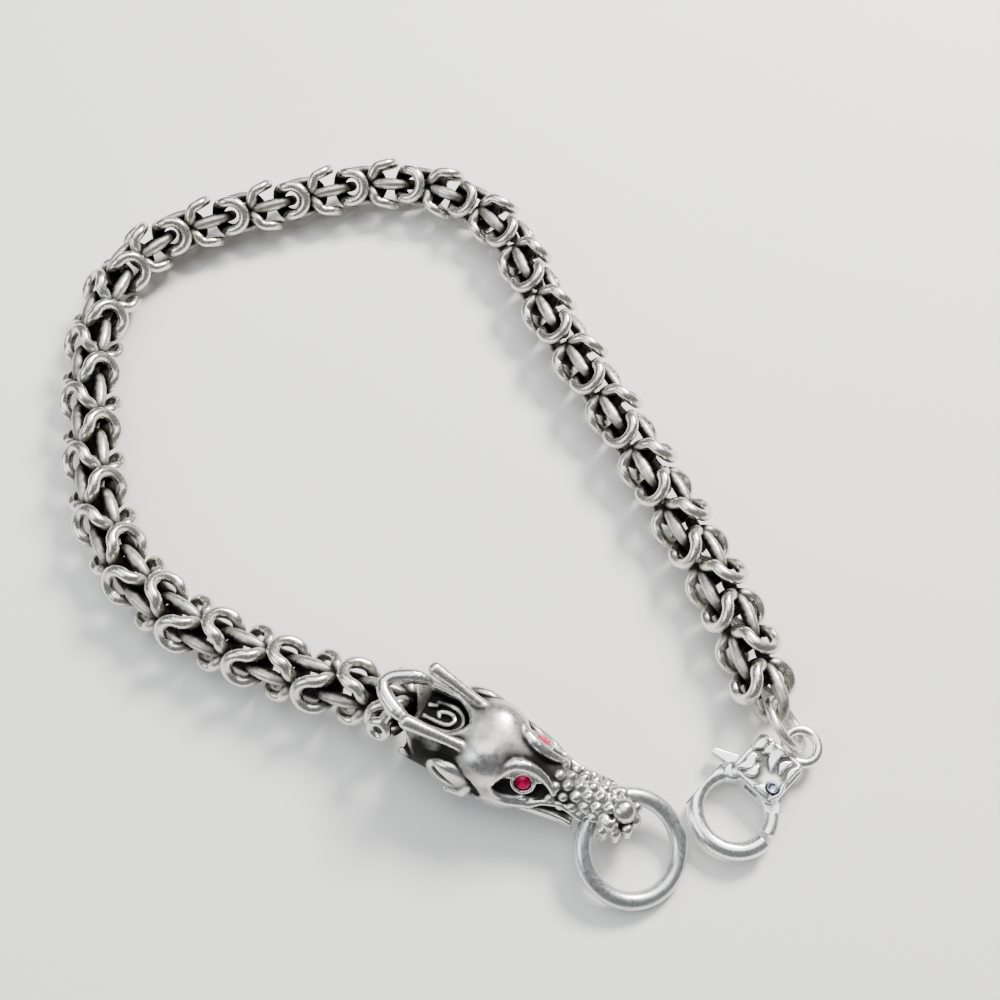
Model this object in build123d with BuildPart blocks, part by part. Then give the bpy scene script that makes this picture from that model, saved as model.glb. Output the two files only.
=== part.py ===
"""Antiqued silver bracelet that lies open on a table: a long four-sided chain of cast links, a dragon's head
with a ring through its jaws at one end, and a lobster ring clasp at the other.

Millimetres, +Z up. The chain and the two ends are laid out on the table by a route seen from above. At the end
all pieces are moved together, so that the origin is on the table under the middle of the whole outline.
"""
import os
from math import asin, cos, degrees, radians, sin, sqrt

from build123d import *

# Chain. Each link is three loops that share one root: a flat middle loop and two bent side loops.
LINK_COUNT = 50
LINK_WIRE = 1.05
LINK_SPARE = 0.8            # how much wider a loop's hole is than the wire
LINK_CLEARANCE = 0.24       # free play between two links where they hook into each other
ROOT_OFFSET = 0.1           # how far a side loop's root stands off the middle loop's root
SIDE_BEND_LENGTH = 0.7      # length of wire between the steep root and the flat end of a side loop
SIDE_STEEP = radians(65)
SIDE_FLAT = radians(14)
CHAIN_HEIGHT = 2.9          # the chain's middle line above the table
LOOP_RADIUS = (LINK_SPARE + 2 * LINK_WIRE) / 2
HOOK_STEP = (LINK_WIRE + LINK_CLEARANCE) / 2

# The chain's route, from the dragon's neck to the clasp: x, y, rise above CHAIN_HEIGHT, and roll in degrees.
ROUTE = [
    (-8.2, -21.1, 0.8, 33), (-13.0, -19.5, 0.62, 33), (-17.6, -17.9, 0.2, 33), (-23.0, -15.6, 0, 33),
    (-28.8, -12.4, 0, 35), (-33.8, -7.4, 0, 40), (-36.8, -1.4, 0, 46), (-38.7, 6.1, 0, 50), (-39.9, 12.9, 0, 51),
    (-39.7, 20.8, 0, 49), (-36.6, 27.8, 0, 47), (-31.1, 31.3, 0, 45), (-22.9, 34.2, 0, 44), (-13.5, 36.7, 0, 43),
    (-5.4, 35.3, 0, 38), (0.6, 30.2, 0, 33), (4.3, 21.4, 0, 30), (8.8, 12.3, 0, 32), (13.6, 2.8, 0, 38),
    (17.6, -6.0, 0, 52), (20.5, -13.1, 0, 58), (22.9, -21.2, 0, 60),
]
ROUTE_START = (-0.9, 0.435, 0)
ROUTE_END = (0.35, -0.94, 0)

# End ring, the leaning jump ring between the last link and the clasp.
END_RING_RADIUS = 2.2
END_RING_WIRE = 0.8
END_RING_PLAY = 0.1         # how much deeper than a link it hooks into the last link
END_RING_TURN = 15.4        # degrees that it turns away from the chain's last direction
END_RING_LEAN = 52          # degrees between the ring's plane and the table

# Dragon's head, in its own frame: X along the neck's bore from its rim to the nose, Z up.
NECK_AT = (-10.01, -20.23)
HEAD_DIRECTION = -25.8
HEAD_ROLL = 7
HEAD_AXIS_HEIGHT = 3.7
HEAD_LENGTH = 23.0
HEAD_HALF_WIDTH = 4.0
HEAD_HALF_HEIGHT = 3.3
# Along the head, half width, half height and middle height, as shares of the four sizes above.
HEAD_SECTIONS = [
    (0.39, 1.0, 1.0, 0.06), (0.54, 0.9, 0.9, 0.03), (0.67, 0.64, 0.68, -0.07), (0.83, 0.54, 0.56, -0.12),
    (0.955, 0.43, 0.38, -0.2), (1.0, 0.17, 0.15, -0.2),
]
NECK_RADIUS = 3.5
NECK_BORE = 3.1
NECK_BORE_DEPTH = 3.9
NECK_LENGTH = 4.6
NECK_SLANT_AT = 0.7         # where the slanted cut under the neck's rim crosses the bore's middle line
NECK_SLANT = (1, 0.45, 0.75)
NECK_PIN_WIRE = 1.0
PIN_SEAT = 0.25             # how deep each end of the neck pin sits in the neck's wall
PIN_CLEARANCE = 0.04
WINDOW_START = 1.0          # from the neck's rim to the point of the opening in the mane
WINDOW_HALF_WIDTH = 1.55
WINDOW_DEPTH = 1.5
RIM_WIRE = 0.85
CURL_RADIUS = 0.85
CURL_WIRE = 0.34
CURL_RISE = 0.35
HORN_ROOT_RADIUS = 0.75
HORN_TIP_RADIUS = 0.6
LOBE_RADIUS = 1.95
EAR_LENGTH = 2.3
EAR_WIDTH = 1.7
EAR_THICK = 0.8
EAR_GROOVE = 0.35
EAR_TURN = (1, 0.18, 0.25)
EAR_FACING = (-0.2, 0.93, 0.3)
LIP_WIRE = 0.7
MOUTH_GROOVE = 0.6
STONE_RADIUS = 0.66
STONE_TABLE = 0.4
STONE_CROWN = 0.22
STONE_GIRDLE = 0.06
STONE_DEPTH = 0.45
STONE_CLEARANCE = 0.05
BEZEL_WALL = 0.3
BEZEL_RISE = 0.1
BROW_RADIUS = 1.5
BROW_WIRE = 0.75
EYE_FACING = (0.15, 0.75, 0.65)
NOSE_RADIUS = 1.15
NOSTRIL_RADIUS = 0.6
SCALE_ROWS = 6
SCALE_RADIUS = 0.46
FANG_RADIUS = 0.42
# Places on the head, as shares of its length, half width and half height.
WINDOW_WIDE_AT = 0.16
WINDOW_END = 0.335
HORN_ROOT = (0.325, 0.49, 0.97)
HORN_TIP = (0.157, 0.56, 1.36)
LOBE_AT = (0.435, 0.32, 0.6)
EAR_AT = (0.365, 0.84, -0.12)
EYE_AT = (0.604, 0.462, 0.53)
NOSTRIL_AT = (0.917, 0.312, 0.106)
NOSE_AT = (0.946, 0, 0.136)
SCALES_FROM = 0.68
SCALE_PITCH = 0.038
FANGS = [(0.915, 0.48, -0.28), (0.953, 0.36, -0.3), (0.976, 0.15, -0.3)]
# Lines along the head: share of its length, and degrees round it with 90 at the top.
RIM_LINE = [(0.095, 66), (0.2, 60), (0.34, 60)]
LIP_LINE = [(0.487, 8), (0.635, 6), (0.74, 10), (0.922, 6)]
MOUTH_LINE = [(0.67, -12), (0.77, -12), (0.86, -20)]

# Mouth ring, which lies through the jaws with its far side on the table.
MOUTH_RING_RADIUS = 4.02
MOUTH_RING_WIRE = 1.45
MOUTH_AT = (0.9087, -0.1625)  # where its hinge line crosses the head, as shares of length and half width
MOUTH_HEIGHT = 2.85
MOUTH_SKEW = -23            # degrees between the hinge line and square across the head
MOUTH_REACH = 3.08          # from the hinge line to the ring's centre
MOUTH_CLEARANCE = 0.2
MOUTH_SWING = 34            # degrees that the ring lifts from the table

# Clasp, in its own frame: the hook's centre is the origin and the plate is towards +X.
CLASP_DIRECTION = 45
HOOK_RADIUS = 3.15
HOOK_WIRE = 1.45
HOOK_FROM = 42
HOOK_TO = 266
CLASP_THICK = 2.7
SLOT_HEIGHT = 1.0
LEVER_THICK = 0.84
PLATE_LENGTH = 3.85
PLATE_WIDTH = 3.8
PLATE_CORNER = 0.75
PLATE_AT = (4.35, 0.4)
SPINE_THICK = 1.05
SHOULDER_RADIUS = 0.85
RIVET_AT = (3.3, -1.02)
RIVET_RADIUS = 0.45
RIVET_CLEARANCE = 0.05
BOSS_RADIUS = 0.9
ARM_WIDTH = 0.85
SLOT_SIDE = 0.15            # free play beside the lever's arm
GATE_CLEARANCE = 0.1        # between the gate's tip and the hook's end as the lever swings
EYE_RING_RADIUS = 1.4
EYE_RING_WIRE = 0.85
EYE_RING_AT = (7.99, -0.57)
EYE_RING_HEIGHT = 1.7
GATE_WIRE = 1.24
GATE_RADIUS = 3.05
GATE_FROM = -48
GATE_END = -84
TAB_ROOT = (2.98, 2.6)
TAB_TIP = (2.55, 4.5)
TAB_WIDTH = 1.1
RELIEF_HEIGHT = 0.14
RELIEF_LINE = 0.34

os.makedirs("parts", exist_ok=True)
up = Vector(0, 0, 1)


def side_rise(along, steep, flat, bend_length):
    """X and Z of a side loop's middle line at a distance along its length: steep, then bent, then flat."""
    first = min(along, LOOP_RADIUS)
    second = min(max(along - LOOP_RADIUS, 0), bend_length)
    third = max(along - LOOP_RADIUS - bend_length, 0)
    radius = bend_length / (steep - flat)
    turned = steep - second / radius
    x = first * cos(steep) + radius * (sin(steep) - sin(turned)) + third * cos(flat)
    z = first * sin(steep) + radius * (cos(turned) - cos(steep)) + third * sin(flat)
    return x, z


def link_place(start, end, roll):
    """Plane of a link that hooks at two points of the route: X along the chain, Z its rolled upper face."""
    along = (end - start).normalized()
    left = up.cross(along).normalized()
    over = along.cross(left)
    return Plane(origin=(start + end) * 0.5, x_dir=along, z_dir=over * cos(radians(roll)) - left * sin(radians(roll)))


def roll_at(share):
    """The route's roll at a share of its length, between the rolls of the two points beside it."""
    index = max(i for i, at in enumerate(route_shares[:-1]) if at <= share)
    part = (share - route_shares[index]) / (route_shares[index + 1] - route_shares[index])
    return ROUTE[index][3] + part * (ROUTE[index + 1][3] - ROUTE[index][3])


# The route and the hooking points, one at each end of every link.
route_points = [Vector(x, y, CHAIN_HEIGHT + rise) for x, y, rise, roll in ROUTE]
with BuildLine() as route_line:
    Spline(route_points, tangents=[ROUTE_START, ROUTE_END])
route = route_line.line.edge()
LINK_PITCH = route.length / LINK_COUNT
route_shares = [route.param_at_point(point) for point in route_points]
hooks = [route.position_at(i / LINK_COUNT) for i in range(LINK_COUNT + 1)]

# Middle loop of a link: a long oval. Half of it is swept and then mirrored.
loop_half = LINK_PITCH / 2 + HOOK_STEP
slant = LOOP_RADIUS * sqrt(0.5)
with BuildPart() as middle_loop:
    with BuildLine() as middle_path:
        ThreePointArc(
            (-loop_half, 0, 0),
            (-loop_half + LOOP_RADIUS - slant, slant, 0),
            (-loop_half + LOOP_RADIUS, LOOP_RADIUS, 0),
        )
        Line((-loop_half + LOOP_RADIUS, LOOP_RADIUS, 0), (loop_half - LOOP_RADIUS, LOOP_RADIUS, 0))
        ThreePointArc(
            (loop_half - LOOP_RADIUS, LOOP_RADIUS, 0),
            (loop_half - LOOP_RADIUS + slant, slant, 0),
            (loop_half, 0, 0),
        )
    with BuildSketch(Plane(origin=(-loop_half, 0, 0), z_dir=(0, 1, 0))):
        Circle(LINK_WIRE / 2)
    sweep()
    mirror(about=Plane.XZ)

# Side loop: the same wire bent up out of the root, then flat, so that its round end stands over the next link.
side_length = 2 * LOOP_RADIUS + SIDE_BEND_LENGTH


def side_point(along, across):
    """A point of the side loop's middle line, at a distance along its length and to its side."""
    x, z = side_rise(along, SIDE_STEEP, SIDE_FLAT, SIDE_BEND_LENGTH)
    return (x - loop_half, across, z + ROOT_OFFSET)


with BuildPart() as side_loop:
    with BuildLine() as side_path:
        ThreePointArc(
            side_point(0, 0),
            side_point(LOOP_RADIUS - slant, slant),
            side_point(LOOP_RADIUS, LOOP_RADIUS),
        )
        ThreePointArc(
            side_point(LOOP_RADIUS, LOOP_RADIUS),
            side_point(side_length / 2, LOOP_RADIUS),
            side_point(side_length - LOOP_RADIUS, LOOP_RADIUS),
        )
        ThreePointArc(
            side_point(side_length - LOOP_RADIUS, LOOP_RADIUS),
            side_point(side_length - LOOP_RADIUS + slant, slant),
            side_point(side_length, 0),
        )
    with BuildSketch(Plane(origin=side_point(0, 0), z_dir=(0, 1, 0))):
        Circle(LINK_WIRE / 2)
    sweep()
    mirror(about=Plane.XZ)

with BuildPart() as link:
    add(middle_loop.part)
    add(side_loop.part)
    mirror(side_loop.part, about=Plane.XY)

link_planes = [
    link_place(hooks[i], hooks[i + 1], roll_at((i + 0.5) / LINK_COUNT) + 90 * ((i + 1) % 2))
    for i in range(LINK_COUNT)
]
chain = Compound([link.part.moved(plane.location) for plane in link_planes])

# Neck pin: the cross pin that holds the root of the first link inside the neck, in a blind seat at each end.
pin_plane = Plane(
    origin=link_planes[0].from_local_coords(Vector(2 * HOOK_STEP - loop_half, 0, 0)), z_dir=link_planes[0].z_dir
)
with BuildPart(pin_plane) as neck_pin:
    Cylinder(NECK_PIN_WIRE / 2, 2 * (NECK_BORE + PIN_SEAT))
with BuildPart(pin_plane) as pin_seat:
    Cylinder(NECK_PIN_WIRE / 2 + PIN_CLEARANCE, 2 * (NECK_BORE + PIN_SEAT + PIN_CLEARANCE))

# Dragon's head, first in its own frame.
head_forward = Vector(cos(radians(HEAD_DIRECTION)), sin(radians(HEAD_DIRECTION)), 0)
head_left = up.cross(head_forward)
head_plane = Plane(
    origin=(*NECK_AT, HEAD_AXIS_HEIGHT),
    x_dir=head_forward,
    z_dir=up * cos(radians(HEAD_ROLL)) + head_left * sin(radians(HEAD_ROLL)),
)
head_rows = [(NECK_LENGTH, NECK_RADIUS, NECK_RADIUS, 0)] + [
    (HEAD_LENGTH * along, HEAD_HALF_WIDTH * wide, HEAD_HALF_HEIGHT * high, HEAD_HALF_HEIGHT * middle)
    for along, wide, high, middle in HEAD_SECTIONS
]


def head_surface(along, degrees_round):
    """A point of the head's smooth surface at a distance along it and an angle round it, 90 at the top."""
    index = max((i for i, row in enumerate(head_rows[:-1]) if row[0] <= along), default=0)
    first, second = head_rows[index], head_rows[index + 1]
    part = max(0, (along - first[0]) / (second[0] - first[0]))
    wide, high, middle = (first[i] + part * (second[i] - first[i]) for i in (1, 2, 3))
    return (along, wide * cos(radians(degrees_round)), middle + high * sin(radians(degrees_round)))


def on_head(place):
    """A point of the head from its shares of the length, half width and half height."""
    return Vector(HEAD_LENGTH * place[0], HEAD_HALF_WIDTH * place[1], HEAD_HALF_HEIGHT * place[2])


def across(point, side):
    """The same point on the near or the far side of the head."""
    x, y, z = point
    return Vector(x, side * y, z)


with BuildPart() as head_form:
    for along, wide, high, middle in head_rows:
        with BuildSketch(Plane(origin=(along, 0, middle), x_dir=(0, 1, 0), z_dir=(1, 0, 0))):
            Ellipse(wide, high)
    loft()
    with BuildSketch(Plane.YZ):
        Circle(NECK_RADIUS)
    extrude(amount=NECK_LENGTH)

# Horn: a straight tapered horn with a round tip, that leans back over the neck.
horn_line = on_head(HORN_TIP) - on_head(HORN_ROOT)
with BuildPart() as horn:
    with BuildSketch(Plane(origin=on_head(HORN_ROOT), z_dir=horn_line)):
        Circle(HORN_ROOT_RADIUS)
    with BuildSketch(Plane(origin=on_head(HORN_TIP), z_dir=horn_line)):
        Circle(HORN_TIP_RADIUS)
    loft()
    with Locations(on_head(HORN_TIP)):
        Sphere(HORN_TIP_RADIUS)
    with Locations(on_head(HORN_ROOT)):
        Sphere(HORN_ROOT_RADIUS)

# Ear: a thick leaf along the side of the skull, with a groove in its outer face.
ear_plane = Plane(origin=on_head(EAR_AT), x_dir=EAR_TURN, z_dir=EAR_FACING)
with BuildPart() as ear:
    with BuildSketch(ear_plane):
        Ellipse(EAR_LENGTH, EAR_WIDTH)
    extrude(amount=EAR_THICK, both=True)
    fillet(ear.edges(), EAR_GROOVE)
    with BuildSketch(ear_plane.offset(EAR_THICK)):
        Ellipse(EAR_LENGTH - 2 * EAR_GROOVE, EAR_WIDTH - 1.5 * EAR_GROOVE)
    extrude(amount=-EAR_GROOVE, mode=Mode.SUBTRACT)

# Lip: a raised edge along each side of the upper jaw, from the cheek to the nose.
lip_points = [head_surface(HEAD_LENGTH * along, angle) for along, angle in LIP_LINE]
with BuildPart() as lip:
    with BuildLine() as lip_path:
        FilletPolyline(*lip_points, radius=1.2)
    with BuildSketch(Plane(origin=lip_path.line @ 0, z_dir=lip_path.line % 0)):
        Circle(LIP_WIRE / 2)
    sweep()
    with Locations(lip_points[0], lip_points[-1]):
        Sphere(LIP_WIRE / 2)

# Mouth: a groove below each lip.
with BuildPart() as mouth_groove:
    with BuildLine() as mouth_path:
        Polyline([head_surface(HEAD_LENGTH * along, angle) for along, angle in MOUTH_LINE])
    with BuildSketch(Plane(origin=mouth_path.line @ 0, z_dir=mouth_path.line % 0)):
        Circle(MOUTH_GROOVE / 2)
    sweep(transition=Transition.ROUND)

# Window: the pointed opening in the mane, over the neck's bore and on to a floor with raised curls.
window_wide = HEAD_LENGTH * WINDOW_WIDE_AT
window_end = HEAD_LENGTH * WINDOW_END
window_floor = NECK_RADIUS - WINDOW_DEPTH
with BuildPart() as window:
    with BuildSketch(Plane.XY.offset(window_floor)):
        with BuildLine():
            Polyline(
                (window_end - WINDOW_HALF_WIDTH, WINDOW_HALF_WIDTH), (window_wide, WINDOW_HALF_WIDTH),
                (WINDOW_START, 0), (window_wide, -WINDOW_HALF_WIDTH),
                (window_end - WINDOW_HALF_WIDTH, -WINDOW_HALF_WIDTH),
            )
            ThreePointArc(
                (window_end - WINDOW_HALF_WIDTH, -WINDOW_HALF_WIDTH),
                (window_end, 0),
                (window_end - WINDOW_HALF_WIDTH, WINDOW_HALF_WIDTH),
            )
        make_face()
    extrude(amount=2 * WINDOW_DEPTH)
with BuildPart() as curls:
    with BuildSketch(Plane.XY.offset(window_floor)):
        with BuildLine():
            CenterArc((window_end - WINDOW_HALF_WIDTH, 0), CURL_RADIUS, -90, 180)
            CenterArc((window_end - WINDOW_HALF_WIDTH, CURL_RADIUS / 2), CURL_RADIUS / 2, 90, 180)
            CenterArc((window_end - WINDOW_HALF_WIDTH, -CURL_RADIUS * 1.25), CURL_RADIUS / 4, 90, 180)
        trace(line_width=CURL_WIRE)
    extrude(amount=CURL_RISE)

# Rim: the pointed arch round the window, from its point at the neck's rim to the horns.
rim_points = [(RIM_WIRE / 2, 0, NECK_RADIUS)] + [
    head_surface(HEAD_LENGTH * along, angle) for along, angle in RIM_LINE
]
with BuildPart() as rim:
    with BuildLine() as rim_path:
        FilletPolyline(*rim_points, radius=1.2)
    with BuildSketch(Plane(origin=rim_path.line @ 0, z_dir=rim_path.line % 0)):
        Circle(RIM_WIRE / 2)
    sweep()
    with Locations(rim_points[0], rim_points[-1]):
        Sphere(RIM_WIRE / 2)

# Eyes: a round bezel with a cut stone in it, under a heavy brow.
eye_planes = [
    Plane(
        origin=across(on_head(EYE_AT), side),
        x_dir=(1, 0, -EYE_FACING[0] / EYE_FACING[2]),
        z_dir=across(EYE_FACING, side),
    )
    for side in (-1, 1)
]
with BuildPart() as bezel:
    Cylinder(
        STONE_RADIUS + STONE_CLEARANCE + BEZEL_WALL, STONE_DEPTH + 2 * BEZEL_WALL + BEZEL_RISE,
        align=(Align.CENTER, Align.CENTER, Align.MAX),
    )
    fillet(bezel.edges().sort_by(Axis.Z)[-1], BEZEL_WALL / 2)
with BuildPart() as socket:
    Cylinder(
        STONE_RADIUS + STONE_CLEARANCE + 2 * BEZEL_WALL, BROW_RADIUS, align=(Align.CENTER, Align.CENTER, Align.MIN)
    )
with BuildPart() as stone_seat:
    Cylinder(
        STONE_RADIUS + STONE_CLEARANCE, STONE_DEPTH + STONE_GIRDLE + STONE_CLEARANCE + BEZEL_RISE,
        align=(Align.CENTER, Align.CENTER, Align.MAX),
    )
with BuildPart() as brow:
    with BuildLine() as brow_path:
        CenterArc((0, 0, 0), BROW_RADIUS, 15, 150)
    with BuildSketch(Plane(origin=brow_path.line @ 0, z_dir=brow_path.line % 0)):
        Circle(BROW_WIRE / 2)
    sweep()
    with Locations(brow_path.line @ 0, brow_path.line @ 1):
        Sphere(BROW_WIRE / 2)
with BuildPart() as stone:
    with BuildSketch(Plane.XY):
        RegularPolygon(STONE_RADIUS, 8)
    extrude(amount=STONE_GIRDLE)
    with BuildSketch(Plane.XY.offset(STONE_GIRDLE)):
        RegularPolygon(STONE_RADIUS, 8)
    with BuildSketch(Plane.XY.offset(STONE_GIRDLE + STONE_CROWN)):
        RegularPolygon(STONE_TABLE, 8)
    loft(ruled=True)
    with BuildSketch(Plane.XY):
        RegularPolygon(STONE_RADIUS, 8)
    with BuildSketch(Plane.XY.offset(-STONE_DEPTH)):
        RegularPolygon(STONE_CLEARANCE, 8)
    loft(ruled=True)

# Mouth ring: its hinge line runs through the jaws, and its far side lies on the table.
mouth_forward = head_forward.rotate(Axis.Z, MOUTH_SKEW)
mouth_side = up.cross(mouth_forward)
mouth_hinge = (
    Vector(*NECK_AT, MOUTH_HEIGHT)
    + head_forward * HEAD_LENGTH * MOUTH_AT[0] + head_left * HEAD_HALF_WIDTH * MOUTH_AT[1]
)
mouth_tilt = degrees(asin((MOUTH_HEIGHT - MOUTH_RING_WIRE / 2) / (MOUTH_REACH + MOUTH_RING_RADIUS)))


def mouth_plane(lift):
    """Plane of the mouth ring when it is lifted by so many degrees from the table."""
    slope = radians(lift - mouth_tilt)
    forward = mouth_forward * cos(slope) + up * sin(slope)
    return Plane(origin=mouth_hinge + forward * MOUTH_REACH, x_dir=forward, z_dir=forward.cross(mouth_side))


with BuildPart(mouth_plane(0)) as mouth_ring:
    Torus(MOUTH_RING_RADIUS, MOUTH_RING_WIRE / 2)

with BuildPart() as dragon_head:
    add(head_form.part)
    for side in (-1, 1):
        with Locations(across(on_head(LOBE_AT), side)):
            Sphere(LOBE_RADIUS)
        with Locations(across(on_head(NOSTRIL_AT), side)):
            Sphere(NOSTRIL_RADIUS)
        for place in FANGS:
            with Locations(across(on_head(place), side)):
                Sphere(FANG_RADIUS)
    with Locations(on_head(NOSE_AT)):
        Sphere(NOSE_RADIUS)
    for row in range(SCALE_ROWS):
        for angle in (28, 54, 78, 102, 126, 152):
            with Locations(head_surface(HEAD_LENGTH * (SCALES_FROM + SCALE_PITCH * row), angle)):
                Sphere(SCALE_RADIUS)
    add(mouth_groove.part, mode=Mode.SUBTRACT)
    mirror(mouth_groove.part, about=Plane.XZ, mode=Mode.SUBTRACT)
    add(window.part, mode=Mode.SUBTRACT)
    add(curls.part)
    for piece in (horn, ear, lip, rim):
        add(piece.part)
        mirror(piece.part, about=Plane.XZ)
    for plane in eye_planes:
        add(socket.part.moved(plane.offset(-BEZEL_WALL).location), mode=Mode.SUBTRACT)
        add(bezel.part.moved(plane.offset(BEZEL_RISE).location))
        add(brow.part.moved(plane.location))
        add(stone_seat.part.moved(plane.offset(BEZEL_RISE).location), mode=Mode.SUBTRACT)
    with Locations(Location((-HEAD_LENGTH, 0, 0), (0, 90, 0))):
        Cylinder(
            NECK_BORE, HEAD_LENGTH + NECK_BORE_DEPTH, align=(Align.CENTER, Align.CENTER, Align.MIN),
            mode=Mode.SUBTRACT,
        )
    split(bisect_by=Plane(origin=(NECK_SLANT_AT, 0, 0), z_dir=NECK_SLANT), keep=Keep.TOP)

# The head on the table, with the seats of the neck pin and the room that the mouth ring needs as it lifts.
ring_play = MOUTH_CLEARANCE + (MOUTH_RING_RADIUS - MOUTH_REACH) * sin(radians(MOUTH_SWING / 2))
with BuildPart(mouth_plane(MOUTH_SWING / 2)) as ring_room:
    Torus(MOUTH_RING_RADIUS, MOUTH_RING_WIRE / 2 + ring_play)
with BuildPart() as placed_head:
    add(dragon_head.part.moved(head_plane.location))
    add(pin_seat.part, mode=Mode.SUBTRACT)
    add(ring_room.part, mode=Mode.SUBTRACT)
eye_places = [head_plane.location * plane.offset(STONE_CLEARANCE).location for plane in eye_planes]

# End ring: it hangs in the last link and in the clasp's eye, and leans on them.
ring_start = hooks[-1] - route.tangent_at(1) * (HOOK_STEP + END_RING_PLAY)
ring_heading = Vector(*ROUTE_END).rotate(Axis.Z, END_RING_TURN).normalized()
ring_drop = (ring_start.Z - EYE_RING_HEIGHT) / (2 * END_RING_RADIUS)
ring_along = ring_heading * sqrt(1 - ring_drop ** 2) - up * ring_drop
ring_side = up.cross(ring_heading)
with BuildPart(
    Plane(
        origin=ring_start + ring_along * END_RING_RADIUS,
        x_dir=ring_along,
        z_dir=ring_along.cross(up * sin(radians(END_RING_LEAN)) - ring_side * cos(radians(END_RING_LEAN))),
    )
) as end_ring:
    Torus(END_RING_RADIUS, END_RING_WIRE / 2)

# Clasp body, in the clasp's own frame: plate, hook, shoulder and eye in one piece, with a slot for the lever.
slot_low = (CLASP_THICK - SLOT_HEIGHT) / 2
arm_side = RIVET_AT[0] - ARM_WIDTH / 2 - SLOT_SIDE
with BuildPart() as clasp_body:
    with BuildSketch() as plate_outline:
        with Locations(PLATE_AT):
            RectangleRounded(PLATE_LENGTH, PLATE_WIDTH, PLATE_CORNER)
    extrude(amount=CLASP_THICK)
    fillet(clasp_body.edges().group_by(Axis.Z)[-1], 0.2)
    with Locations((HOOK_RADIUS * cos(radians(HOOK_FROM)), HOOK_RADIUS * sin(radians(HOOK_FROM)), CLASP_THICK / 2)):
        Cylinder(SHOULDER_RADIUS, CLASP_THICK - 0.4)
    with BuildLine() as hook_path:
        CenterArc((0, 0, CLASP_THICK / 2), HOOK_RADIUS, HOOK_FROM, HOOK_TO - HOOK_FROM)
    with BuildSketch(Plane(origin=hook_path.line @ 0, z_dir=hook_path.line % 0)):
        Circle(HOOK_WIRE / 2)
    sweep()
    with Locations((*EYE_RING_AT, EYE_RING_HEIGHT)):
        Torus(EYE_RING_RADIUS, EYE_RING_WIRE / 2)
    with BuildSketch(Plane.XY.offset(slot_low)) as slot:
        with BuildLine():
            Polyline(
                (arm_side, TAB_TIP[1]), (arm_side, 1.0), (1.6, 0.6), (1.6, -HOOK_RADIUS),
                (PLATE_AT[0] + PLATE_LENGTH / 2 - SPINE_THICK, -HOOK_RADIUS),
                (PLATE_AT[0] + PLATE_LENGTH / 2 - SPINE_THICK, 0.6),
                (PLATE_AT[0] + PLATE_LENGTH, 0.6), (PLATE_AT[0] + PLATE_LENGTH, TAB_TIP[1]),
                close=True,
            )
        make_face()
    extrude(amount=SLOT_HEIGHT, mode=Mode.SUBTRACT)
    with Locations((*RIVET_AT, 0)):
        Cylinder(
            RIVET_RADIUS + RIVET_CLEARANCE, CLASP_THICK,
            align=(Align.CENTER, Align.CENTER, Align.MIN), mode=Mode.SUBTRACT,
        )
    with BuildSketch(Plane.XY.offset(CLASP_THICK)):
        with BuildLine():
            CenterArc((3.6, 1.2), 0.7, 20, 250)
            CenterArc((5.2, 0.9), 0.55, 160, 250)
            CenterArc((4.6, -0.5), 0.6, -60, 230)
        trace(line_width=RELIEF_LINE)
    extrude(amount=RELIEF_HEIGHT)

with BuildPart() as clasp_rivet:
    with Locations((*RIVET_AT, 0)):
        Cylinder(RIVET_RADIUS, CLASP_THICK, align=(Align.CENTER, Align.CENTER, Align.MIN))

# Gate bar: the round end of the lever, cut back so that it swings past the hook's end.
hook_end = Vector(HOOK_RADIUS - HOOK_WIRE / 2, 0).rotate(Axis.Z, HOOK_TO)
gate_reach = (hook_end - Vector(*RIVET_AT)).length - GATE_CLEARANCE
with BuildPart() as gate_bar:
    with BuildLine() as gate_path:
        CenterArc((0, 0, CLASP_THICK / 2), GATE_RADIUS, GATE_FROM, GATE_END - GATE_FROM)
    with BuildSketch(Plane(origin=gate_path.line @ 0, z_dir=gate_path.line % 0)):
        Circle(GATE_WIRE / 2)
    sweep()
    with Locations((*RIVET_AT, CLASP_THICK / 2)):
        Cylinder(gate_reach, CLASP_THICK, mode=Mode.INTERSECT)

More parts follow.
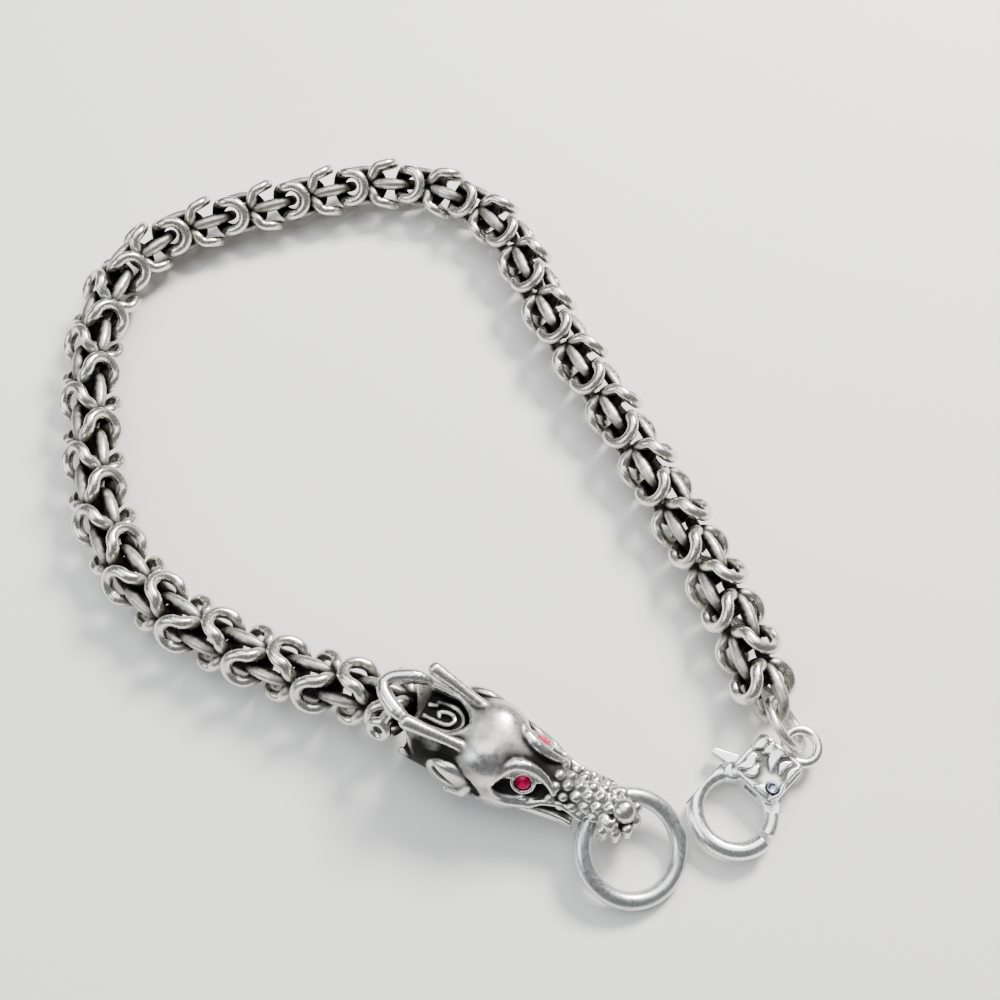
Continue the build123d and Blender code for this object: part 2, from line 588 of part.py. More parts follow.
# Clasp lever: a boss on the rivet, an arm to the thumb tab, and the gate that closes the hook.
lever_low = (CLASP_THICK - LEVER_THICK) / 2
with BuildPart() as clasp_lever:
    with BuildSketch(Plane.XY.offset(lever_low)):
        with Locations(RIVET_AT):
            Circle(BOSS_RADIUS)
        with BuildLine():
            Polyline(
                (RIVET_AT[0] - ARM_WIDTH / 2, RIVET_AT[1]), (RIVET_AT[0] + ARM_WIDTH / 2, RIVET_AT[1]),
                (TAB_ROOT[0] + TAB_WIDTH / 2, TAB_ROOT[1]), (TAB_TIP[0] + 0.15, TAB_TIP[1]),
                (TAB_TIP[0] - 0.15, TAB_TIP[1]), (arm_side + SLOT_SIDE, TAB_ROOT[1]),
                close=True,
            )
        make_face()
        with BuildLine():
            CenterArc((0, 0), GATE_RADIUS - GATE_WIRE / 2, GATE_FROM, 35)
            CenterArc((0, 0), GATE_RADIUS + GATE_WIRE / 2, GATE_FROM, 35)
            Line(
                (Vector(GATE_RADIUS - GATE_WIRE / 2, 0).rotate(Axis.Z, GATE_FROM)),
                (Vector(GATE_RADIUS + GATE_WIRE / 2, 0).rotate(Axis.Z, GATE_FROM)),
            )
            Line(
                (Vector(GATE_RADIUS - GATE_WIRE / 2, 0).rotate(Axis.Z, GATE_FROM + 35)),
                (Vector(GATE_RADIUS + GATE_WIRE / 2, 0).rotate(Axis.Z, GATE_FROM + 35)),
            )
        make_face()
    extrude(amount=LEVER_THICK)
    add(gate_bar.part)
    with Locations((*RIVET_AT, 0)):
        Cylinder(
            RIVET_RADIUS + RIVET_CLEARANCE, CLASP_THICK,
            align=(Align.CENTER, Align.CENTER, Align.MIN), mode=Mode.SUBTRACT,
        )

# The clasp stands where the end ring leads: its eye is at the ring's far end.
clasp_turn = Plane(origin=(0, 0, 0), x_dir=Vector(1, 0, 0).rotate(Axis.Z, CLASP_DIRECTION), z_dir=(0, 0, 1))
clasp_place = Plane(
    origin=ring_start + ring_along * 2 * END_RING_RADIUS - clasp_turn.from_local_coords(
        Vector(*EYE_RING_AT, EYE_RING_HEIGHT)
    ),
    x_dir=clasp_turn.x_dir,
    z_dir=(0, 0, 1),
).location

# All pieces are moved together, so that the origin is on the table under the middle of the whole outline.
placed = {
    "chain": chain,
    "neck_pin": neck_pin.part,
    "dragon_head": placed_head.part,
    "left_eye": stone.part.moved(eye_places[0]),
    "right_eye": stone.part.moved(eye_places[1]),
    "mouth_ring": mouth_ring.part,
    "clasp_body": clasp_body.part.moved(clasp_place),
    "clasp_lever": clasp_lever.part.moved(clasp_place),
    "clasp_rivet": clasp_rivet.part.moved(clasp_place),
    "end_ring": end_ring.part,
}
outline = Compound(list(placed.values())).bounding_box()
shift = Location((-outline.center().X, -outline.center().Y, -outline.min.Z))
for name, piece in placed.items():
    moved = piece.moved(shift)
    moved.label = name
    export_step(moved, f"parts/{name}.step")
    box = moved.bounding_box()
    print(name, len(moved.solids()), round(moved.volume, 3), moved.is_valid, box.min, box.max)
print("shift", shift)
print("mouth hinge", mouth_hinge, mouth_side, "tilt", mouth_tilt)
print("rivet", clasp_place * Location((*RIVET_AT, 0)))
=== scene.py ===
import bpy
import numpy as np
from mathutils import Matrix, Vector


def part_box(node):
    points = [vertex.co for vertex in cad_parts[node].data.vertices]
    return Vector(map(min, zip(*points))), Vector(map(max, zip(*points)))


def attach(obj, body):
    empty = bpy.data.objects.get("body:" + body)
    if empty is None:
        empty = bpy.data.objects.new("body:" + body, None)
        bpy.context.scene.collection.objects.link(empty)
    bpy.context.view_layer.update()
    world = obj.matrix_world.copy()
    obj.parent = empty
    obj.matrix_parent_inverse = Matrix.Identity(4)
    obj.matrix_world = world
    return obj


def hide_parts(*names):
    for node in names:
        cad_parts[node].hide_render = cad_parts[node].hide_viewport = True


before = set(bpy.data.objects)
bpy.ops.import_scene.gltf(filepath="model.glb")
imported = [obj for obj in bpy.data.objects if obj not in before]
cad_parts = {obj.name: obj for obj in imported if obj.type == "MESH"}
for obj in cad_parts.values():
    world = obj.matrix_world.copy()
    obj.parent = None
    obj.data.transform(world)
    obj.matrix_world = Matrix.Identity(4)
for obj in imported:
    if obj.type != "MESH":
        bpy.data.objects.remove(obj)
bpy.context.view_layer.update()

import openvdb
from mathutils import Matrix

MM = 0.001
up = np.array([0.0, 0.0, 1.0])

# Chain: fifty cast silver links, each of three loops that share one root, woven into a four-sided chain.
# They lie along one route from the dragon's neck to the clasp, each turned a quarter from the one before.
# The wire is worn bright on the outside of the chain and black with patina inside it.
LINK_COUNT = 50
LINK_WIRE = 1.05
LINK_SPARE = 0.8
LINK_CLEARANCE = 0.24
ROOT_OFFSET = 0.1
SIDE_BEND_LENGTH = 0.7
SIDE_STEEP, SIDE_FLAT = np.radians(65), np.radians(14)
CHAIN_HEIGHT = 2.9
LOOP_RADIUS = (LINK_SPARE + 2 * LINK_WIRE) / 2
HOOK_STEP = (LINK_WIRE + LINK_CLEARANCE) / 2
LOOP_STEPS, WIRE_STEPS = 44, 12
ROOT_SWELL, ROOT_REACH = 0.2, 2.2
END_WEAR = 1.95
TABLE_GAP = 0.021
ROUTE_STEPS = 6000
CHAIN_WEAR = (1.5, 2.3)
# all the silver: tarnish as a share of the wear, the patina's roughness, and the dimples' depth in metres
TARNISH_SHARE, PATINA_ROUGHNESS, DIMPLE_DEPTH = 0.22, 0.62, 0.00006
# x, y, rise above CHAIN_HEIGHT, and roll in degrees
ROUTE = np.array([
    (-8.2, -21.1, 0.8, 33), (-13.0, -19.5, 0.62, 33), (-17.6, -17.9, 0.2, 33), (-23.0, -15.6, 0, 33),
    (-28.8, -12.4, 0, 35), (-33.8, -7.4, 0, 40), (-36.8, -1.4, 0, 46), (-38.7, 6.1, 0, 50),
    (-39.9, 12.9, 0, 51), (-39.7, 20.8, 0, 49), (-36.6, 27.8, 0, 47), (-31.1, 31.3, 0, 45),
    (-22.9, 34.2, 0, 44), (-13.5, 36.7, 0, 43), (-5.4, 35.3, 0, 38), (0.6, 30.2, 0, 33), (4.3, 21.4, 0, 30),
    (8.8, 12.3, 0, 32), (13.6, 2.8, 0, 38), (17.6, -6.0, 0, 52), (20.5, -13.1, 0, 58), (22.9, -21.2, 0, 60),
])
ROUTE_START = np.array([-0.9, 0.435, 0.0])
ROUTE_END = np.array([0.35, -0.94, 0.0])


def unit(vector):
    """Each vector divided by its own length."""
    return vector / np.linalg.norm(vector, axis=-1, keepdims=True)


def route_line(points, first, last, count):
    """Clamped cubic spline: Hermite pieces between the points, whose slopes make the second derivative
    continuous, with the chord length as the parameter. Returns the line and the parameter at each point."""
    at = np.concatenate([[0], np.cumsum(np.linalg.norm(np.diff(points, axis=0), axis=1))])
    gap = np.diff(at)
    rise = np.diff(points, axis=0) / gap[:, None]
    matrix = np.eye(len(points))
    inner = np.arange(1, len(points) - 1)
    matrix[inner, inner - 1] = gap[1:]
    matrix[inner, inner] = 2 * (gap[:-1] + gap[1:])
    matrix[inner, inner + 1] = gap[:-1]
    right = np.vstack([first, 3 * (gap[:-1, None] * rise[1:] + gap[1:, None] * rise[:-1]), last])
    slopes = np.linalg.solve(matrix, right)
    along = np.linspace(0, at[-1], count)
    piece = np.clip(np.searchsorted(at, along, side="right") - 1, 0, len(gap) - 1)
    part = ((along - at[piece]) / gap[piece])[:, None]
    step = gap[piece][:, None]
    line = (
        (2 * part**3 - 3 * part**2 + 1) * points[piece]
        + (part**3 - 2 * part**2 + part) * step * slopes[piece]
        + (3 * part**2 - 2 * part**3) * points[piece + 1]
        + (part**3 - part**2) * step * slopes[piece + 1]
    )
    return line, at


def loop_outline(length, count):
    """Long oval from 0 to length along x: two half circles of LOOP_RADIUS joined by straight sides, with
    its points spaced evenly along it."""
    straight = length - 2 * LOOP_RADIUS
    half_turn = np.pi * LOOP_RADIUS
    walked = np.linspace(0, 2 * (half_turn + straight), count, endpoint=False)
    far = np.minimum(walked, half_turn) / LOOP_RADIUS - np.pi / 2
    back = np.clip(walked - half_turn, 0, straight)
    near = np.clip(walked - half_turn - straight, 0, half_turn) / LOOP_RADIUS + np.pi / 2
    last = np.clip(walked - 2 * half_turn - straight, 0, straight)
    x = np.where(
        walked < half_turn + straight,
        LOOP_RADIUS + straight + LOOP_RADIUS * np.cos(far) - back,
        LOOP_RADIUS + LOOP_RADIUS * np.cos(near) + last,
    )
    y = np.where(walked < half_turn + straight, LOOP_RADIUS * np.sin(far), LOOP_RADIUS * np.sin(near))
    return x, y


def bent_side(along, side):
    """Side loop: x and z at a distance along it, steep to LOOP_RADIUS, then round an arc, then flat."""
    bow = SIDE_BEND_LENGTH / (SIDE_STEEP - SIDE_FLAT)
    first = np.clip(along, 0, LOOP_RADIUS)
    turned = SIDE_STEEP - np.clip(along - LOOP_RADIUS, 0, SIDE_BEND_LENGTH) / bow
    third = np.maximum(along - LOOP_RADIUS - SIDE_BEND_LENGTH, 0)
    x = first * np.cos(SIDE_STEEP) + bow * (np.sin(SIDE_STEEP) - np.sin(turned)) + third * np.cos(SIDE_FLAT)
    z = first * np.sin(SIDE_STEEP) + bow * (np.cos(turned) - np.cos(SIDE_STEEP)) + third * np.sin(SIDE_FLAT)
    return x, side * (z + ROOT_OFFSET)


def ring_tube(centre, radius, steps):
    """Closed tubes along closed lines (..., n, 3): at each point the circle lies across the line, in a
    frame made from the direction to the line's own middle. Returns points (..., n, steps, 3)."""
    ahead = unit(np.roll(centre, -1, axis=-2) - np.roll(centre, 1, axis=-2))
    inward = centre.mean(axis=-2, keepdims=True) - centre
    inward = unit(inward - (inward * ahead).sum(-1, keepdims=True) * ahead)
    third = np.cross(ahead, inward)
    angle = np.linspace(0, 2 * np.pi, steps, endpoint=False)[:, None]
    return centre[..., None, :] + radius * (
        np.cos(angle) * inward[..., None, :] + np.sin(angle) * third[..., None, :]
    )


def closed_grid_faces(rings, steps, count):
    """Quads of count separate tubes of rings by steps points, closed both ways."""
    ring, step = np.meshgrid(np.arange(rings), np.arange(steps), indexing="ij")
    one = np.stack([
        ring * steps + step, ring * steps + (step + 1) % steps,
        (ring + 1) % rings * steps + (step + 1) % steps, (ring + 1) % rings * steps + step,
    ], axis=-1).reshape(-1, 4)
    return (one[None] + np.arange(count)[:, None, None] * rings * steps).reshape(-1, 4)


def smooth_piece(name, points, quads, body, *nodes, **measures):
    """A smooth-shaded mesh from points in mm and quads, with one float attribute per measure, on a body."""
    mesh = bpy.data.meshes.new(name)
    mesh.vertices.add(len(points))
    mesh.vertices.foreach_set("co", (points * MM).astype(np.float32).ravel())
    mesh.loops.add(quads.size)
    mesh.loops.foreach_set("vertex_index", quads.astype(np.int32).ravel())
    mesh.polygons.add(len(quads))
    mesh.polygons.foreach_set("loop_start", np.arange(0, quads.size, quads.shape[1], dtype=np.int32))
    mesh.polygons.foreach_set("use_smooth", np.ones(len(quads), dtype=bool))
    for measure, values in measures.items():
        layer = mesh.attributes.new(measure, "FLOAT", "POINT")
        layer.data.foreach_set("value", values.astype(np.float32).ravel())
    mesh.update()
    mesh.validate()
    piece = bpy.data.objects.new(name, mesh)
    bpy.context.scene.collection.objects.link(piece)
    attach(piece, body)
    if nodes:
        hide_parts(*nodes)
    return piece


route_xyz = np.column_stack([ROUTE[:, :2], CHAIN_HEIGHT + ROUTE[:, 2]])
line, route_at = route_line(route_xyz, unit(ROUTE_START), unit(ROUTE_END), ROUTE_STEPS)
walked = np.concatenate([[0], np.cumsum(np.linalg.norm(np.diff(line, axis=0), axis=1))])
pitch = walked[-1] / LINK_COUNT
hook_walked = np.arange(LINK_COUNT + 1) * pitch
hooks = np.stack([np.interp(hook_walked, walked, line[:, i]) for i in range(3)], axis=-1)
point_walked = np.interp(route_at, np.linspace(0, route_at[-1], len(walked)), walked)
link_number = np.arange(LINK_COUNT)
roll = np.radians(
    np.interp((link_number + 0.5) * pitch, point_walked, ROUTE[:, 3]) + 90 * ((link_number + 1) % 2)
)
link_along = unit(np.diff(hooks, axis=0))
link_left = unit(np.cross(up, link_along))
link_over = np.cross(link_along, link_left)
link_up = link_over * np.cos(roll)[:, None] - link_left * np.sin(roll)[:, None]
link_across = np.cross(link_up, link_along)
loop_half = pitch / 2 + HOOK_STEP

middle_x, middle_y = loop_outline(2 * loop_half, LOOP_STEPS)
side_along, side_y = loop_outline(2 * LOOP_RADIUS + SIDE_BEND_LENGTH, LOOP_STEPS)
loops = [np.stack([middle_x, middle_y, 0 * middle_x], axis=-1)]
for side in (1, -1):
    side_x, side_z = bent_side(side_along, side)
    loops.append(np.stack([side_x, side_y, side_z], axis=-1))
loops = np.stack(loops) - (loop_half, 0, 0)
root_swell = ROOT_SWELL * np.clip((ROOT_REACH - np.linalg.norm(loops[..., 1:], axis=-1)) / ROOT_REACH, 0, 1)
root_swell[0] *= np.abs(loops[0, :, 0]) < loop_half - LOOP_RADIUS
tubes = ring_tube(loops, LINK_WIRE / 2 + root_swell[..., None, None], WIRE_STEPS)
axes = np.stack([link_along, link_across, link_up], axis=1)
middles = (hooks[1:] + hooks[:-1]) / 2
chain_points = np.einsum("abcj,ijk->iabck", tubes, axes) + middles[:, None, None, None, :]
from_middle = np.broadcast_to(np.linalg.norm(tubes[..., 1:], axis=-1), chain_points.shape[:-1]).copy()
# the last link's far end is worn, since no link covers it
from_middle[-1, 0] = np.maximum(from_middle[-1, 0], END_WEAR * (tubes[0, ..., 0] > 0))
chain_points = chain_points.reshape(-1, 3)
# how far the frame moved the bracelet, read from the chain's box, with the scene's own gap to the table
table_shift = np.array(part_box("chain")[0]) / MM - chain_points.min(axis=0)
table_shift[2] = TABLE_GAP
chain_faces = closed_grid_faces(LOOP_STEPS, WIRE_STEPS, 3 * LINK_COUNT)[:, ::-1]
chain_piece = smooth_piece(
    "woven_chain", chain_points + table_shift, chain_faces, "bracelet", "chain", out=from_middle,
)


def node_of(tree, kind, **values):
    """A new shader node, with its properties and its inputs set by name."""
    node = tree.nodes.new(kind)
    for key, value in values.items():
        if hasattr(node, key):
            setattr(node, key, value)
        else:
            node.inputs[key.replace("_", " ")].default_value = value
    return node


def antique_silver(name, measure, wear, dark, bright, rough, grain):
    """Antiqued silver: black patina where the measure is below the first value of wear, worn bright above
    the second, with uneven tarnish between, fine scratches in the roughness, and casting dimples in the bump.
    Without a measure the metal is worn alike all over, near the bright end."""
    low, high = wear
    tarnish_spread = TARNISH_SHARE * (high - low)
    material = bpy.data.materials.new(name)
    material.use_nodes = True
    tree = material.node_tree
    shader = tree.nodes["Principled BSDF"]
    shader.inputs["Metallic"].default_value = 1.0
    place = tree.nodes.new("ShaderNodeTexCoord")
    tarnish = node_of(tree, "ShaderNodeTexNoise", Scale=grain * 0.35, Detail=5.0, Roughness=0.65)
    dimples = node_of(tree, "ShaderNodeTexNoise", Scale=grain * 2.2, Detail=4.0, Roughness=0.6)
    for texture in (tarnish, dimples):
        tree.links.new(place.outputs["Object"], texture.inputs["Vector"])
    wobble = node_of(tree, "ShaderNodeMapRange", From_Min=0.3, From_Max=0.7)
    wobble.inputs["To Min"].default_value = -tarnish_spread
    wobble.inputs["To Max"].default_value = tarnish_spread
    tree.links.new(tarnish.outputs["Fac"], wobble.inputs["Value"])
    total = node_of(tree, "ShaderNodeMath", operation="ADD")
    total.inputs[0].default_value = (low + 3 * high) / 4
    if measure:
        value = node_of(tree, "ShaderNodeAttribute", attribute_name=measure)
        tree.links.new(value.outputs["Fac"], total.inputs[0])
    tree.links.new(wobble.outputs["Result"], total.inputs[1])
    worn = node_of(tree, "ShaderNodeMapRange", interpolation_type="SMOOTHSTEP", From_Min=low, From_Max=high)
    tree.links.new(total.outputs["Value"], worn.inputs["Value"])
    colour = node_of(tree, "ShaderNodeMix", data_type="RGBA")
    colour.inputs["A"].default_value = (*dark, 1)
    colour.inputs["B"].default_value = (*bright, 1)
    tree.links.new(worn.outputs["Result"], colour.inputs["Factor"])
    tree.links.new(colour.outputs["Result"], shader.inputs["Base Color"])
    polish = node_of(tree, "ShaderNodeMapRange", To_Min=PATINA_ROUGHNESS, To_Max=rough)
    tree.links.new(worn.outputs["Result"], polish.inputs["Value"])
    scuffs = node_of(tree, "ShaderNodeMapRange", From_Min=0.35, From_Max=0.65, To_Min=-0.06, To_Max=0.08)
    tree.links.new(dimples.outputs["Fac"], scuffs.inputs["Value"])
    both = node_of(tree, "ShaderNodeMath", operation="ADD")
    tree.links.new(polish.outputs["Result"], both.inputs[0])
    tree.links.new(scuffs.outputs["Result"], both.inputs[1])
    tree.links.new(both.outputs["Value"], shader.inputs["Roughness"])
    bump = node_of(tree, "ShaderNodeBump", Strength=0.12, Distance=DIMPLE_DEPTH)
    tree.links.new(dimples.outputs["Fac"], bump.inputs["Height"])
    tree.links.new(bump.outputs["Normal"], shader.inputs["Normal"])
    return material


chain_silver = antique_silver(
    "antiqued chain silver", "out", CHAIN_WEAR, (0.015, 0.014, 0.013), (0.72, 0.70, 0.63), 0.24, 2200.0
)
chain_piece.data.materials.append(chain_silver)

# Dragon's head: one hollow silver casting, pinned to the chain's end through its neck, with horns, ears,
# brows, a scaled snout and a fringe of lobes. It is sculpted in a block of space, as a wax would be.
# Its recesses are blackened with patina, its skull and ridges are worn bright, and the lower flanks of its
# neck are darkened with painted shade.
NECK_AT = (-10.01, -20.23)
HEAD_DIRECTION, HEAD_ROLL = np.radians(-25.8), np.radians(7)
HEAD_AXIS_HEIGHT = 3.7
HEAD_VOXEL = 0.095
HEAD_BLOCK = (-0.8, -5.2, -4.2), (24.6, 5.2, 5.8)
HEAD_FRONT = 22.8
# rows of x along the head, half width, half height and middle height
HEAD_SHAPE = np.array([
    (-1.0, 3.5, 3.5, 0), (4.6, 3.5, 3.5, 0), (7.0, 3.6, 3.4, 0.05), (9.0, 3.8, 3.3, 0.15),
    (11.0, 3.65, 3.15, 0.1), (12.6, 3.15, 2.8, 0), (14.0, 2.75, 2.5, -0.15), (15.6, 2.15, 2.2, -0.3),
    (17.5, 1.8, 1.95, -0.4), (19.2, 1.8, 1.8, -0.42), (21.0, 1.85, 1.55, -0.5), (22.2, 1.6, 1.2, -0.6),
    (23.0, 0.9, 0.8, -0.7),
])
# balls on each side: middle, radii and fillet, with x along the head, y out from its middle and z up
SKULL_LOBE = (10.3, 1.3, 1.75), (2.4, 2.1, 2.15), 1.2
CHEEK = (11.6, 2.7, -0.7), (2.4, 1.15, 1.5), 0.8
EYE_SWELLING = (13.4, 1.6, 1.0), (2.0, 1.2, 1.5), 0.7
EAR_LEAF = (8.2, 3.4, 0.5), (2.1, 0.85, 1.9), 0.12
EYE_HOLLOWS = ((13.3, 2.95, 1.45), (1.5, 1.15, 0.95), 0.2), ((15.2, 2.1, 1.2), (1.25, 0.95, 0.75), 0.2)
NOSTRIL_FLARE = (21.25, 1.3, 0.35), (0.75, 0.62, 0.6), 0.2
NOSTRIL_HOLES = ((21.15, 1.0, 0.95), (0.3, 0.24, 0.3), 0.08), ((21.9, 1.55, 0.65), (0.22, 0.26, 0.22), 0.08)
# balls on the middle line or on one side
FOREHEAD = (11.2, 0, 1.7), (3.2, 1.7, 1.75), 1.0
OPEN_FLANK = (0.0, -3.5, -0.3), (3.7, 1.8, 3.0), 0.3
NOSE_BALL = (21.9, 0, 0.6), (1.05, 1.0, 1.0), 0.06
# strands on each side: rows of x, y, z and radius
JAW = [(12.5, 2.4, -1.2, 0.9), (15.4, 2.2, -1.35, 0.6), (18.0, 1.9, -1.45, 0.55), (20.4, 1.95, -1.4, 0.6)]
ARCH_RIM = [(0.5, 0, 3.38, 0.5), (0.95, 0.75, 3.35, 0.6), (2.4, 1.6, 3.3, 0.62), (3.6, 1.9, 3.2, 0.4)]
WINDOW_RIM = [(3.4, 1.85, 3.1, 0.3), (6.0, 1.9, 3.0, 0.26), (8.4, 1.6, 3.1, 0.3)]
HORN = [(8.9, 1.85, 3.0, 0.5), (7.4, 2.05, 3.5, 0.44), (5.6, 2.3, 4.0, 0.52), (3.9, 2.5, 4.42, 0.6)]
OVER_EAR = [(6.0, 3.3, 1.9, 0.3), (8.0, 3.45, 2.0, 0.42), (9.8, 3.75, 1.3, 0.42), (10.9, 4.0, 0.0, 0.3)]
EAR_LOBE = [(10.0, 3.6, 0.5, 0.4), (9.7, 4.0, -0.5, 0.42), (8.4, 4.05, -1.1, 0.35)]
EAR_GROOVE = [(7.0, 3.95, 1.5, 0.22), (8.2, 4.35, 0.9, 0.34), (9.3, 4.5, 0.1, 0.3), (9.2, 4.5, -0.3, 0.2)]
EAR_FOLD = [(6.9, 4.2, 0.6, 0.16), (7.8, 4.5, 0.0, 0.24), (8.4, 4.6, -0.5, 0.18)]
UNDER_BROW = [
    (12.3, 3.0, 2.0, 0.3), (13.1, 2.2, 2.75, 0.36), (14.2, 1.75, 2.75, 0.36), (15.3, 1.7, 2.0, 0.32),
    (16.0, 1.75, 1.3, 0.26),
]
BROW = [
    (11.7, 2.9, 1.7, 0.3), (12.0, 2.1, 2.5, 0.46), (12.8, 1.3, 2.95, 0.52), (13.9, 0.95, 2.85, 0.48),
    (14.9, 0.9, 2.4, 0.4), (15.8, 1.1, 1.8, 0.32), (16.4, 1.4, 1.2, 0.24),
]
MOUTH = [
    (15.0, 2.9, -0.4, 0.2), (16.4, 2.35, -0.2, 0.55), (17.8, 2.2, -0.2, 0.68), (19.1, 2.3, -0.55, 0.5),
    (20.2, 2.45, -0.95, 0.25),
]
LIP = [
    (11.3, 3.55, -0.15, 0.3), (13.2, 3.2, -0.1, 0.42), (14.9, 2.65, 0.05, 0.38), (15.75, 2.2, 0.4, 0.26),
    (17.2, 1.75, 0.5, 0.22), (18.7, 1.85, 0.1, 0.25), (20.2, 2.05, -0.45, 0.3),
]
LIP_GROOVE = [(11.9, 4.0, -0.05, 0.1), (13.3, 3.68, 0.0, 0.14), (14.8, 3.15, 0.1, 0.1)]
JAW_EDGE = [
    (15.2, 2.5, -0.95, 0.2), (16.4, 2.3, -1.0, 0.22), (17.8, 2.2, -1.05, 0.22), (19.2, 2.3, -1.2, 0.28),
    (20.4, 2.2, -1.4, 0.4),
]
# neck: bore, the slanted plane under its rim, and the planes and depths of the cuts beside the arch
NECK_BORE, NECK_BORE_DEPTH = 3.1, 3.9
NECK_SLANT_AT, NECK_SLANT = 0.7, np.array((1, 0.45, 0.75))
ARCH_SLOPE, ARCH_HALF = 1.25, 0.3
FAR_CUT_AT, FAR_CUT_DOWN_TO, NEAR_CUT_AT, NEAR_CUT_DOWN_TO = 0.5, -0.6, 0.9, 0.4
# eye round the near end of the neck pin, and the stay that joins it to the arch
PIN_END, PIN_WAY = np.array((1.63, -3.0, 1.45)), np.array((0.0, -0.9, 0.43))
PIN_EYE_RADIUS, PIN_EYE_WIRE = 0.72, 0.8
PIN_STAY = [(1.75, -2.5, 2.2, 0.45), (2.1, -1.7, 3.0, 0.5)]
# pointed window behind the arch, its sloping floor, and the curls on it: rows of x and y, then the radius
WINDOW_FROM, WINDOW_POINT, WINDOW_HALF = 0.9, 2.8, 1.6
WINDOW_ROUND_FROM, WINDOW_ROUND, WINDOW_END = 8.15, 1.6, 8.2
FLOOR_AT, FLOOR_HEIGHT, FLOOR_SLOPE, CURL_HEIGHT = 4.0, 1.25, 0.22, 1.55
CURLS = (
    ([(4.3, -1.15), (6.2, -1.2), (7.2, -0.95), (7.7, -0.35), (7.65, 0.35), (7.1, 0.9), (6.2, 1.15),
      (5.0, 1.1)], 0.25),
    ([(4.4, -0.45), (5.8, -0.55), (6.6, -0.45), (6.95, 0.0), (6.6, 0.45), (5.9, 0.5), (5.4, 0.25),
      (5.6, -0.05)], 0.21),
    ([(4.4, 0.6), (5.0, 0.75)], 0.2),
)
# fringe: blunt lobes at these angles round an oval under the nose
FRINGE_TURNS = np.radians((0, 30, 60, 88))
FRINGE_AT, FRINGE_LONG, FRINGE_WIDE, FRINGE_TOP, FRINGE_FOOT = 20.9, 2.1, 1.95, -0.1, -0.95
FRINGE_LEAN, FRINGE_SPREAD, FRINGE_RADII = 0.1, 1.08, (0.5, 0.4)
# scales: rows across the snout, with places a step of SCALE_TURN apart, sunk a little into it
SNOUT_ROWS, SCALES_FROM, SCALE_STEP, SCALE_TURN, SCALE_SUNK = 6, 16.25, 0.92, 30, 0.12
EVEN_ROW, ODD_ROW = (0, 1, 2), (0.5, 1.5, 2.4)
SCALE_LONG, SCALE_WIDE, SCALE_HIGH = 0.45, 0.43, 0.36
scale_sizes = np.random.default_rng(7)
# eye seats: the stone's middle in shares of the head's length, half width and half height, and the way that
# it faces
EYE_AT, EYE_FACING = np.array((0.604, 0.462, 0.53)) * (23.0, 4.0, 3.3), np.array((0.15, 0.75, 0.65))
SEAT_RADIUS, SEAT_DEPTHS = 1.02, (1.2, 0.55)
BEZEL_RADIUS, BEZEL_WIRE = 0.86, 0.38
COLLAR_RADIUS, COLLAR_DEPTH, POCKET_RADIUS, POCKET_DEPTH = 1.03, 0.9, 0.71, 0.55
# mouth ring: where it hangs in the jaws, its skew, and the room for its swing
MOUTH_RING_RADIUS, MOUTH_RING_WIRE = 4.02, 1.45
MOUTH_AT, MOUTH_HEIGHT, MOUTH_SKEW, MOUTH_REACH = (20.9, -0.65), 2.85, np.radians(-23), 3.08
MOUTH_SWING, MOUTH_CLEARANCE = np.radians(34), 0.2
# wear: how far round a point its hollow is judged; painted shade: where the flanks of the neck are darkened
# to stand in for their shadow
FINE_REACH, BROAD_REACH = 0.25, 0.9
SHADE_TO, SHADE_FADE, SHADE_TOP, SHADE_TOP_FADE, NECK_PAINTED_SHADE = 6.4, 1.6, 2.9, 0.8, 0.16
HEAD_WEAR = (-0.05, 0.15)

head_forward = np.array([np.cos(HEAD_DIRECTION), np.sin(HEAD_DIRECTION), 0.0])
head_left = np.cross(up, head_forward)
head_up = up * np.cos(HEAD_ROLL) + head_left * np.sin(HEAD_ROLL)
head_axes = np.stack([head_forward, np.cross(head_up, head_forward), head_up])
head_origin = np.array([*NECK_AT, HEAD_AXIS_HEIGHT]) + table_shift


